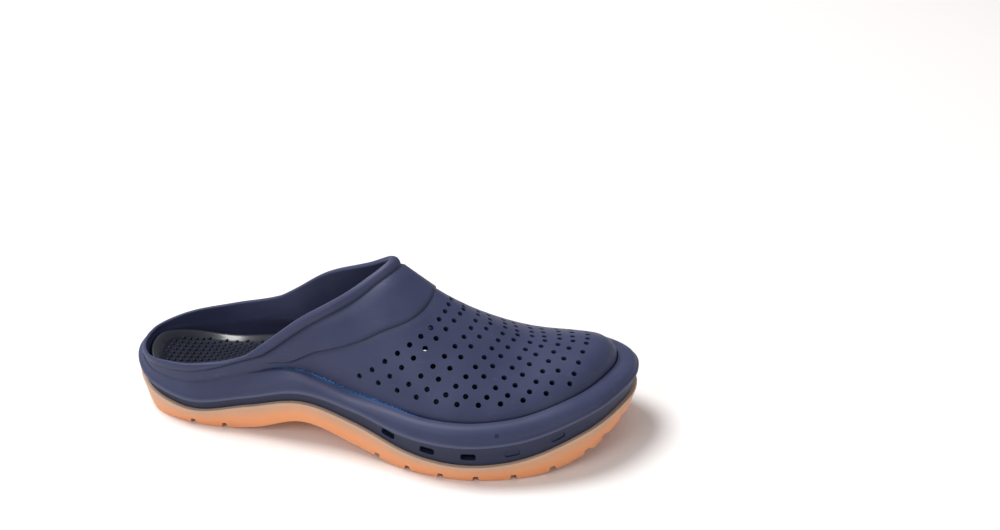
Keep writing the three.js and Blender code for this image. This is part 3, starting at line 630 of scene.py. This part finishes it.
# Drain slots in the lower band, on both sides, with rounded ends.
SLOT_LENGTH, SLOT_HEIGHT, SLOT_PITCH, SLOT_FIRST_STATION = 8.0, 3.8, 22.0, 0.565
SLOT_COUNT, SLOTS_OPEN, BLIND_SLOT_DEPTH, SLOT_CORNER = 5, 3, 0.8, 1.3
slots = bmesh.new()
for side in (-1, 1):
    for i in range(SLOT_COUNT):
        s = SLOT_FIRST_STATION + i * SLOT_PITCH / LENGTH
        t = outline_at((s - 0.5) * LENGTH, side)
        place, heading = outline(t), outline(t + 1e-4) - outline(t - 1e-4)
        angle = math.atan2(heading[1], heading[0])
        tilt = slope(joint_line, s)
        depth = 2 * (RAND_WALL + 1.5 if i < SLOTS_OPEN else BAND_INSET + BLIND_SLOT_DEPTH)
        centre = Vector((*place, floor_top(s) + SLOT_HEIGHT / 2 + 0.3)) + Vector(SHIFT)
        at = (Matrix.Translation(centre * MM) @ Matrix.Rotation(angle, 4, "Z")
              @ Matrix.Rotation(-tilt * math.copysign(1, math.cos(angle)), 4, "Y")
              @ Matrix.Diagonal((SLOT_LENGTH * MM, depth * MM, SLOT_HEIGHT * MM, 1)))
        made = bmesh.ops.create_cube(slots, size=1, matrix=at)
        crossing = at.to_3x3() @ Vector((0, 1, 0))
        ends = {e for v in made["verts"] for e in v.link_edges
                if abs((e.verts[0].co - e.verts[1].co).normalized().dot(crossing.normalized())) > 0.99}
        bmesh.ops.bevel(slots, geom=list(ends), offset=SLOT_CORNER * MM, segments=4, profile=0.5,
                        affect="EDGES", material=-1)

# A round ejector-pin mark on the front of the lateral shoulder.
PIN_STATION, PIN_RADIUS, PIN_DEPTH, PIN_LEAN = 0.776, 1.1, 0.6, math.radians(60)
PIN_INSET, PIN_RISE = 1.2, 5.0
pin_t = outline_at((PIN_STATION - 0.5) * LENGTH, -1)
pin_place, pin_heading = outline(pin_t), outline(pin_t + 1e-4) - outline(pin_t - 1e-4)
pin_out = np.array((pin_heading[1], -pin_heading[0])) / np.linalg.norm(pin_heading)
pin_point = np.array((*(pin_place - PIN_INSET * pin_out), ridge_line(PIN_STATION) + PIN_RISE))
at = (Matrix.Translation(Vector(pin_point + SHIFT) * MM)
      @ Matrix.Rotation(math.atan2(pin_out[1], pin_out[0]), 4, "Z") @ Matrix.Rotation(PIN_LEAN, 4, "Y"))
peg(slots, at, PIN_RADIUS, 2 * PIN_DEPTH, 24)
carve(upper, finished_object("slot_cutters", slots))
upper.data.shade_smooth()
upper.data.set_sharp_from_angle(angle=math.radians(60))
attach(upper, "clog")
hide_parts("upper_shell")


def skin_group():
    """A moulded surface: fine pebble, slow flow marks and faint scuffs, for every material here."""
    group = bpy.data.node_groups.new("moulded_skin", "ShaderNodeTree")
    for name in ("Grain Size", "Flow Size"):
        group.interface.new_socket(name=name, in_out="INPUT", socket_type="NodeSocketFloat")
    for name in ("Height", "Flow", "Scuff"):
        group.interface.new_socket(name=name, in_out="OUTPUT", socket_type="NodeSocketFloat")
    nodes, links = group.nodes, group.links
    entry, leave = nodes.new("NodeGroupInput"), nodes.new("NodeGroupOutput")
    place = nodes.new("ShaderNodeTexCoord")
    grain, flow, scuff = (nodes.new("ShaderNodeTexNoise") for _ in range(3))
    grain.inputs["Detail"].default_value = 3
    flow.inputs["Detail"].default_value = 4
    scuff.inputs["Scale"].default_value = 260
    scuff.inputs["Detail"].default_value = 6
    scuff.inputs["Distortion"].default_value = 1.5
    stretch = nodes.new("ShaderNodeMapping")
    stretch.inputs["Scale"].default_value = (0.35, 1.0, 1.6)
    ramp = nodes.new("ShaderNodeMapRange")
    ramp.inputs["From Min"].default_value = 0.62
    ramp.inputs["From Max"].default_value = 0.8
    for node in (grain, flow):
        links.new(place.outputs["Object"], node.inputs["Vector"])
    links.new(place.outputs["Object"], stretch.inputs["Vector"])
    links.new(stretch.outputs["Vector"], scuff.inputs["Vector"])
    links.new(entry.outputs["Grain Size"], grain.inputs["Scale"])
    links.new(entry.outputs["Flow Size"], flow.inputs["Scale"])
    links.new(scuff.outputs["Fac"], ramp.inputs["Value"])
    links.new(grain.outputs["Fac"], leave.inputs["Height"])
    links.new(flow.outputs["Fac"], leave.inputs["Flow"])
    links.new(ramp.outputs["Result"], leave.inputs["Scuff"])
    return group


moulded_skin = skin_group()


def add_skin(tree, grain_size, flow_size):
    """Places the moulded surface in a material, with its own noise scales."""
    node = tree.nodes.new("ShaderNodeGroup")
    node.node_tree = moulded_skin
    node.inputs["Grain Size"].default_value = grain_size
    node.inputs["Flow Size"].default_value = flow_size
    return node


def add_bump(tree, shader, height, strength, distance):
    """Raises the surface by a height socket; distance is in metres."""
    bump = tree.nodes.new("ShaderNodeBump")
    bump.inputs["Strength"].default_value = strength
    bump.inputs["Distance"].default_value = distance
    tree.links.new(height, bump.inputs["Height"])
    tree.links.new(bump.outputs["Normal"], shader.inputs["Normal"])


def mixed(tree, factor, a, b):
    """A colour mix node; a and b are colours or sockets, factor is a socket."""
    mix = tree.nodes.new("ShaderNodeMix")
    mix.data_type = "RGBA"
    tree.links.new(factor, mix.inputs["Factor"])
    for value, socket in ((a, mix.inputs[6]), (b, mix.inputs[7])):
        if isinstance(value, tuple):
            socket.default_value = (*value, 1)
        else:
            tree.links.new(value, socket)
    return mix.outputs[2]


def ranged(tree, value, from_low, from_high, low, high):
    """Maps a socket's values from one range onto another, and holds them inside it."""
    node = tree.nodes.new("ShaderNodeMapRange")
    for name, number in (("From Min", from_low), ("From Max", from_high), ("To Min", low), ("To Max", high)):
        node.inputs[name].default_value = number
    tree.links.new(value, node.inputs["Value"])
    return node.outputs["Result"]


def point_mask(piece, name, values):
    """Stores one value per vertex, for the piece's material to read."""
    layer = piece.data.attributes.new(name, "FLOAT", "POINT")
    layer.data.foreach_set("value", np.asarray(values, np.float32))


def mask_output(tree, name):
    """Socket that reads such a mask."""
    node = tree.nodes.new("ShaderNodeAttribute")
    node.attribute_name = name
    return node.outputs["Fac"]


def near_line(piece, line, reach):
    """Per vertex, 1 on a line of points and fading out over a reach in millimetres."""
    tree = KDTree(len(line))
    for i, p in enumerate(line):
        tree.insert(Vector(p + SHIFT) * MM, i)
    tree.balance()
    return np.array([math.exp(-(tree.find(v.co)[2] / (reach * MM)) ** 2) for v in piece.data.vertices])


# Masks: painted shade in the crease, along the panel's step and in the rim's groove; the blue parting line on
# the lateral arch; a painted highlight along the ridge line; and painted shade on the lower band under the
# ridge.
groove = ring_at(inset_c + 0.1, crease_z - CREASE_DEPTH)
panel_step = surface_ring(panel_run)[0][fade_panel > 0.1]
rim_groove = surface_ring(band_run + step_run)[0][rim_fade(ring_station) > 0.6]
shaded_lines = [near_line(upper, groove[ring_station > 0.34], 0.9), near_line(upper, panel_step, 0.7),
              0.7 * near_line(upper, rim_groove, 0.8)]
point_mask(upper, "crease_painted_shade", np.max(shaded_lines, axis=0))
flash_zone = (ring_station > 0.33) & (ring_station < 0.62) & (side_of < 0)
point_mask(upper, "flash", near_line(upper, ring_at(inset_c - 0.4, crease_z)[flash_zone], 0.8))
# Painted highlight along the outer edge of the ridge line.
point_mask(upper, "ridge_painted_highlight", near_line(upper, ring_at(-RIDGE_PROUD, ridge_z - 0.1), 1.0))
# Painted shade: the outward faces of the lower band are darkened from 1 mm below the ridge down.
upper_co = np.array([v.co for v in upper.data.vertices]) / MM - SHIFT
band_top = ridge_line(upper_co[:, 0] / LENGTH + 0.5) - 1.0
outward = np.abs(upper_co[:, 1] - CENTRE_Y) > 20
point_mask(upper, "band_painted_shade", np.where(outward | (np.abs(upper_co[:, 0]) > 100),
                                        np.clip(band_top - upper_co[:, 2], 0, 1), 0))

navy, tree, shader = new_material("navy_rubber", 0.48, 0.28)
skin_node = add_skin(tree, RUBBER_GRAIN, 38)
flow_tone = ranged(tree, skin_node.outputs["Flow"], 0.35, 0.65, 0, 1)
colour = mixed(tree, flow_tone, NAVY, PALE_NAVY)
colour = mixed(tree, ranged(tree, skin_node.outputs["Scuff"], 0, 1, 0, 0.25), colour, SCUFFED_NAVY)
# Painted shade on the lower band under the ridge.
colour = mixed(tree, ranged(tree, mask_output(tree, "band_painted_shade"), 0, 1, 0, 0.85), colour, SHADED_BAND_NAVY)
# Painted highlight along the ridge line.
colour = mixed(tree, ranged(tree, mask_output(tree, "ridge_painted_highlight"), 0.3, 1, 0, 0.7), colour, RIDGE_HIGHLIGHT_NAVY)
# Painted shade in the crease, along the panel's step and in the rim's groove.
colour = mixed(tree, ranged(tree, mask_output(tree, "crease_painted_shade"), 0, 1, 0, 0.75), colour, CREASE_SHADE)
flash_break = tree.nodes.new("ShaderNodeMath")
flash_break.operation = "MULTIPLY"
tree.links.new(mask_output(tree, "flash"), flash_break.inputs[0])
tree.links.new(ranged(tree, skin_node.outputs["Flow"], 0.4, 0.6, 0.2, 0.8), flash_break.inputs[1])
colour = mixed(tree, flash_break.outputs[0], colour, FLASH_BLUE)
tree.links.new(colour, shader.inputs["Base Color"])
tree.links.new(ranged(tree, skin_node.outputs["Flow"], 0.3, 0.7, 0.44, 0.54), shader.inputs["Roughness"])
add_bump(tree, shader, skin_node.outputs["Height"], 0.25, 0.0001)
upper.data.materials.clear()
upper.data.materials.append(navy)


# ---- Mould flash ------------------------------------------------------------------------------
# A ragged fin of thin rubber left where the mould halves met, along the crease of the lateral arch.
# It belongs to the upper and moves with it.
FLASH_START, FLASH_END = 0.34, 0.6
FLASH_STEPS, FLASH_HEIGHT, FLASH_THICKNESS = 420, 1.3, 0.25
FLASH_LEAN = 0.35               # the fin leans in over the crease as it rises
DEEP_FIN, LIT_FIN = (0.015, 0.07, 0.2), (0.05, 0.17, 0.42)
fin_station = np.linspace(FLASH_START, FLASH_END, FLASH_STEPS)
foot_line = two_sides(ring_at(inset_c - 0.35, crease_z - 0.3))[0]
fin_x = (fin_station - 0.5) * LENGTH
fin_foot = np.column_stack([fin_x, *(np.interp(fin_x, foot_line[:, 0], foot_line[:, j]) for j in (1, 2))])
ragged = np.array([noise.noise(Vector((x * 0.9, 0, 0))) + 0.6 * noise.noise(Vector((x * 2.3, 7, 0)))
                   for x in fin_x])
fin_fade = np.sin(math.pi * np.linspace(0, 1, FLASH_STEPS)) ** 0.4
fin_rise = FLASH_HEIGHT * fin_fade * np.clip(0.55 + 0.9 * ragged, 0.05, 1.2)
fin_tip = fin_foot + np.column_stack([0 * fin_x, FLASH_LEAN * fin_rise, fin_rise])
fin = bmesh.new()
verts = [fin.verts.new(Vector(p) * MM) for p in fin_foot + SHIFT]
edges = [fin.edges.new(pair) for pair in zip(verts, verts[1:])]
drawn_out(fin, verts, edges, fin_tip)
bmesh.ops.recalc_face_normals(fin, faces=fin.faces[:])
flash = finished_object("mould_flash", fin)
thick = flash.modifiers.new("thickness", "SOLIDIFY")
thick.thickness = FLASH_THICKNESS * MM
thick.offset = 0
flash.data.shade_smooth()
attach(flash, "clog")

thin_navy, tree, shader = new_material("thin_navy_rubber", 0.4, 0.4)
skin_node = add_skin(tree, RUBBER_GRAIN, 220)
colour = mixed(tree, ranged(tree, skin_node.outputs["Flow"], 0.4, 0.6, 0, 1), DEEP_FIN, LIT_FIN)
tree.links.new(colour, shader.inputs["Base Color"])
add_bump(tree, shader, skin_node.outputs["Height"], 0.2, 0.0001)
flash.data.materials.append(thin_navy)


# ---- Outsole ----------------------------------------------------------------------------------
# One piece of gum rubber, bonded under the upper and drawn up round heel and toe. Its treads are
# cut by chevron grooves, and it is hollowed up under the arch, where it never touches the ground.
BOND_GAP = 0.3
SOLE_PROUD = 0.5
SOLE_DRAFT = 2.0
ARCH_RISE = 11.5
TOE_SPRING = 14.0
LUG_DEPTH = 3.2
GROOVE_WIDTH = 3.2
GROOVE_PITCH = 18.5
TOE_GROOVE_PITCH = 7.0
GROOVE_RUNS = ((0.155, 2, GROOVE_PITCH), (0.545, 6, GROOVE_PITCH), (0.935, 3, TOE_GROOVE_PITCH))
GROOVE_LEAN = 1.6 * GROOVE_WIDTH  # how far back a groove runs from the middle to the side
GUM, PALE_GUM = (0.84, 0.34, 0.145), (0.86, 0.42, 0.22)
# The second pair is painted light: a reflection near the gum's top edge and a highlight right along it.
TOP_GUM_REFLECTION, TOP_EDGE_HIGHLIGHT = (0.56, 0.34, 0.22), (0.62, 0.50, 0.42)
sole_bottom = smooth((0, 6), (0.07, 0), (0.2, 0), (0.28, 0.25 * ARCH_RISE), (0.38, ARCH_RISE),
                     (0.49, 0.45 * ARCH_RISE), (0.58, 0), (0.82, 0), (0.92, 0.3 * TOE_SPRING),
                     (1, TOE_SPRING))
bottom_z = sole_bottom(ring_station)
sole_top_z = joint_z - BOND_GAP
height = sole_top_z - bottom_z
sole_rings = [
    flat_ring(SOLE_DRAFT + 0.9, sole_bottom),
    ring_at(SOLE_DRAFT + 0.3, bottom_z + 0.15),
    ring_at(SOLE_DRAFT, bottom_z + 0.7),
    ring_at(0.75 * SOLE_DRAFT, bottom_z + 0.25 * height),
    ring_at(0.45 * SOLE_DRAFT, bottom_z + 0.45 * height),
    ring_at(0.1 * SOLE_DRAFT, bottom_z + 0.7 * height),
    ring_at(-0.6 * SOLE_PROUD, sole_top_z - 1.6),
    ring_at(-SOLE_PROUD, sole_top_z - 1.1),
    ring_at(-SOLE_PROUD, sole_top_z - 0.5),
    ring_at(-0.5 * SOLE_PROUD, sole_top_z - 0.1),
    flat_ring(0, lambda s: joint_line(s) - BOND_GAP),
]
outsole = ring_body("gum_outsole", sole_rings)
grooves = bmesh.new()
foot, roof = GROOVE_WIDTH * 0.6, GROOVE_WIDTH * 0.38
section = [(-foot, -3 * LUG_DEPTH), (foot, -3 * LUG_DEPTH), (foot, 0), (roof, LUG_DEPTH),
           (-roof, LUG_DEPTH), (-foot, 0)]
for s in [start + i * pitch / LENGTH for start, count, pitch in GROOVE_RUNS for i in range(count)]:
    at = (Matrix.Translation(Vector(((s - 0.5) * LENGTH + SHIFT[0], SHIFT[1], sole_bottom(s))) * MM)
          @ Matrix.Rotation(-slope(sole_bottom, s), 4, "Y") @ Matrix.Diagonal((MM, MM, MM, 1)))
    loops = []
    for y, lean in ((-BALL_WIDTH, -GROOVE_LEAN), (0, 0), (BALL_WIDTH, -GROOVE_LEAN)):
        verts = [grooves.verts.new(at @ Vector((x + lean, y, z))) for x, z in section]
        loops.append([grooves.edges.new((a, b)) for a, b in zip(verts, verts[1:] + verts[:1])])
    for a, b in zip(loops, loops[1:]):
        bmesh.ops.bridge_loops(grooves, edges=a + b)
    bmesh.ops.holes_fill(grooves, edges=loops[0] + loops[-1], sides=0)
bmesh.ops.recalc_face_normals(grooves, faces=grooves.faces[:])
carve(outsole, finished_object("groove_cutters", grooves))
outsole.data.shade_smooth()
outsole.data.set_sharp_from_angle(angle=math.radians(35))
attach(outsole, "clog")
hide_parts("outsole")

# Painted reflection and highlight: the gum is paler near its top edge, where its proud lip catches the light,
# and whitish right along the top; the pale tone reaches all the way down at the heel.
sole_co = np.array([v.co for v in outsole.data.vertices]) / MM - SHIFT
sole_s = sole_co[:, 0] / LENGTH + 0.5
sole_top = joint_line(sole_s) - BOND_GAP
sole_height = np.maximum(sole_top - sole_bottom(sole_s), 1)
paler_heel = smooth((0, 0.45), (0.2, 1))(sole_s)
point_mask(outsole, "depth", np.clip((sole_top - sole_co[:, 2]) / sole_height, 0, 1) * paler_heel)

gum, tree, shader = new_material("gum_rubber", 0.55, 0.4)
skin_node = add_skin(tree, 1100, 60)
depth = mask_output(tree, "depth")
flow_tone = ranged(tree, skin_node.outputs["Flow"], 0.35, 0.65, 0, 1)
# Painted reflection: paler towards the top edge.
colour = mixed(tree, ranged(tree, depth, 0.15, 0.6, 0, 1), TOP_GUM_REFLECTION, GUM)
colour = mixed(tree, ranged(tree, flow_tone, 0, 1, 0, 0.3), colour, PALE_GUM)
# Painted highlight: whitish right along the top edge.
colour = mixed(tree, ranged(tree, depth, 0.1, 0.02, 0, 0.5), colour, TOP_EDGE_HIGHLIGHT)
tree.links.new(colour, shader.inputs["Base Color"])
tree.links.new(ranged(tree, skin_node.outputs["Flow"], 0.3, 0.7, 0.5, 0.62), shader.inputs["Roughness"])
add_bump(tree, shader, skin_node.outputs["Height"], 0.3, 0.00012)
outsole.data.materials.clear()
outsole.data.materials.append(gum)


# ---- Footbed ----------------------------------------------------------------------------------
# A loose insole of soft foam that lies on the upper's floor: a smooth raised edge round a dished
# middle with small massage nubs. It lifts at the heel and is drawn out to be rinsed.
FOOTBED_CLEARANCE = 0.8
FOOTBED_THICKNESS = 4.3
FOOTBED_LIE = 0.55              # height above the floor
FOOTBED_CUP = 3.0               # how far the edge stands up round the dished middle
FOOTBED_TOE_GAP = 6.0
NUB_PITCH, NUB_RADIUS, NUB_HEIGHT = 3.8, 1.25, 0.8
NUB_ROW_STEP = 0.866 * NUB_PITCH
NUB_EDGE = 6.0                  # width of the smooth edge round the nubs
DARK_FOAM, LIT_FOAM = (0.003, 0.005, 0.015), (0.006, 0.009, 0.024)
room = smooth((0.22, 0), (0.34, 0.3 * FOOTBED_TOE_GAP), (0.5, 0.5 * FOOTBED_TOE_GAP), (1, FOOTBED_TOE_GAP))
bed_edge = np.maximum(RAND_WALL, inset_c + WALL) + FOOTBED_CLEARANCE + room(ring_station)


def bed_ring(inset, rise):
    """Ring at an inset from the footbed's edge, at a rise above its underside."""
    return flat_ring(bed_edge + inset, lambda s: floor_top(s) + FOOTBED_LIE + rise)


def drawn_in(distance, rise):
    """Ring drawn in from the footbed's edge towards its own middle line."""
    ring = bed_ring(0, 0)
    index = np.arange(AROUND)
    inner = np.clip(np.where(index <= STATIONS, index, AROUND - index), STATIONS // 4, 3 * STATIONS // 4)
    goal = (ring[inner] + ring[AROUND - inner]) / 2
    toward = goal[:, :2] - ring[:, :2]
    ring[:, :2] += toward * (distance / np.linalg.norm(toward, axis=1))[:, None]
    ring[:, 2] = floor_top(ring[:, 0] / LENGTH + 0.5) + FOOTBED_LIE + rise
    return ring


# Up the edge, over its lip and down into the dish, by distance from the edge and share of the cup.
lip = FOOTBED_THICKNESS + FOOTBED_CUP
bed_rings = [bed_ring(0.8, 0), bed_ring(0.2, 0.3), bed_ring(0, 1.5), bed_ring(0.1, lip - 1.4),
             drawn_in(0.5, lip - 0.5)]
for distance, cup in ((1.1, 0.98), (2, 1), (3.2, 0.9), (4.4, 0.7), (5.6, 0.46), (7, 0.24), (8.6, 0.09),
                      (10.4, 0.02), (12.5, 0)):
    bed_rings.append(drawn_in(distance, FOOTBED_THICKNESS + cup * FOOTBED_CUP))
footbed = ring_body("foam_footbed", bed_rings)

# The nubs: low domes in staggered rows across the dish, made a row at a time.
bed = bmesh.new()
bed.from_mesh(footbed.data)
nub_row = bpy.data.meshes.new("nub_row")
nub_line = drawn_in(NUB_EDGE, 0)
nub_low, nub_high = two_sides(nub_line)
for row in range(int((nub_line[:, 0].max() - nub_line[:, 0].min()) / NUB_ROW_STEP)):
    x = nub_line[:, 0].min() + (row + 0.8) * NUB_ROW_STEP
    low_y = np.interp(x, nub_low[:, 0], nub_low[:, 1])
    high_y = np.interp(x, nub_high[:, 0], nub_high[:, 1])
    middle_y, count = (low_y + high_y) / 2, int((high_y - low_y) / 2 / NUB_PITCH + 0.5 * (row % 2))
    nubs = bmesh.new()
    for i in range(-count, count + 1 - row % 2):
        y = middle_y + (i + 0.5 * (row % 2)) * NUB_PITCH
        if not low_y < y < high_y:
            continue
        s = x / LENGTH + 0.5
        edge_gap = min(y - low_y, high_y - y)
        rise = FOOTBED_THICKNESS + 0.35 * FOOTBED_CUP * max(0, 1 - edge_gap / 4) ** 2
        z = floor_top(s) + FOOTBED_LIE + rise
        at = (Matrix.Translation((Vector((x, y, z)) + Vector(SHIFT)) * MM)
              @ Matrix.Rotation(-slope(joint_line, s, 0.01), 4, "Y")
              @ Matrix.Diagonal((NUB_RADIUS * MM, NUB_RADIUS * MM, NUB_HEIGHT * MM, 1)))
        bmesh.ops.create_uvsphere(nubs, u_segments=8, v_segments=5, radius=1, matrix=at)
    nubs.to_mesh(nub_row)
    nubs.free()
    bed.from_mesh(nub_row)
bpy.data.meshes.remove(nub_row)
bed.to_mesh(footbed.data)
bed.free()
footbed.data.shade_smooth()
footbed.data.set_sharp_from_angle(angle=math.radians(50))
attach(footbed, "footbed")
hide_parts("footbed")

bed_co = np.array([v.co for v in footbed.data.vertices]) / MM - SHIFT
low_gap = bed_co[:, 1] - np.interp(bed_co[:, 0], nub_low[:, 0], nub_low[:, 1])
high_gap = np.interp(bed_co[:, 0], nub_high[:, 0], nub_high[:, 1]) - bed_co[:, 1]
point_mask(footbed, "smooth_edge", np.clip(0.5 - np.minimum(low_gap, high_gap), 0, 1))

foam, tree, shader = new_material("footbed_foam", 0.5, 0.25)
shader.inputs["Coat Roughness"].default_value = 0.22
skin_node = add_skin(tree, 900, 90)
colour = mixed(tree, ranged(tree, skin_node.outputs["Flow"], 0.35, 0.65, 0, 1), DARK_FOAM, LIT_FOAM)
tree.links.new(colour, shader.inputs["Base Color"])
tree.links.new(ranged(tree, mask_output(tree, "smooth_edge"), 0, 1, 0.62, 0.4), shader.inputs["Roughness"])
tree.links.new(ranged(tree, mask_output(tree, "smooth_edge"), 0.3, 1, 0, 0.8), shader.inputs["Coat Weight"])
add_bump(tree, shader, skin_node.outputs["Height"], 0.3, 0.0001)
footbed.data.materials.clear()
footbed.data.materials.append(foam)


# ---- Size label -------------------------------------------------------------------------------
# A round sticker of thin film, blank here, pressed by its own glue onto the inside of the lateral
# wall below the collar edge. It follows the wall's curve.
LABEL_STATION, LABEL_SHARE, LABEL_RADIUS = 0.4, 0.17, 7.5
LABEL_RINGS, LABEL_SIDES = 8, 64
LABEL_THICKNESS, LABEL_LIFT = 0.35, 0.05
SHARE_STEP = 0.05
FILM, PALE_FILM = (0.28, 0.29, 0.31), (0.36, 0.37, 0.39)
label_bm = bmesh.new()
bmesh.ops.create_circle(label_bm, cap_ends=True, cap_tris=False, segments=LABEL_SIDES, radius=1)
for _ in range(LABEL_RINGS):
    middle_face = min(label_bm.faces, key=lambda f: f.calc_center_median().length)
    bmesh.ops.inset_individual(label_bm, faces=[middle_face], thickness=1 / (LABEL_RINGS + 1))
low_point, high_point = (surface_frame(LABEL_STATION, LABEL_SHARE + step, -1)[0]
                         for step in (-SHARE_STEP, SHARE_STEP))
per_share = np.linalg.norm(high_point - low_point) / (2 * SHARE_STEP)
for v in label_bm.verts:
    place, normal = surface_frame(LABEL_STATION + v.co.x * LABEL_RADIUS / LENGTH,
                                  LABEL_SHARE + v.co.y * LABEL_RADIUS / per_share, -1)
    v.co = Vector(place - normal * (WALL + LABEL_LIFT) + SHIFT) * MM
bmesh.ops.recalc_face_normals(label_bm, faces=label_bm.faces[:])
label = finished_object("blank_size_label", label_bm)
thick = label.modifiers.new("thickness", "SOLIDIFY")
thick.thickness = LABEL_THICKNESS * MM
thick.offset = 0
label.data.shade_smooth()
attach(label, "clog")
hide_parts("size_label")

paper, tree, shader = new_material("label_film", 0.5, 0.4)
skin_node = add_skin(tree, 2000, 150)
colour = mixed(tree, skin_node.outputs["Flow"], FILM, PALE_FILM)
tree.links.new(colour, shader.inputs["Base Color"])
label.data.materials.append(paper)


# ---- Box of the pieces ------------------------------------------------------------------------
# The box of the visible pieces, in metres; the imported part's box was taken at the start.
low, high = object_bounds()
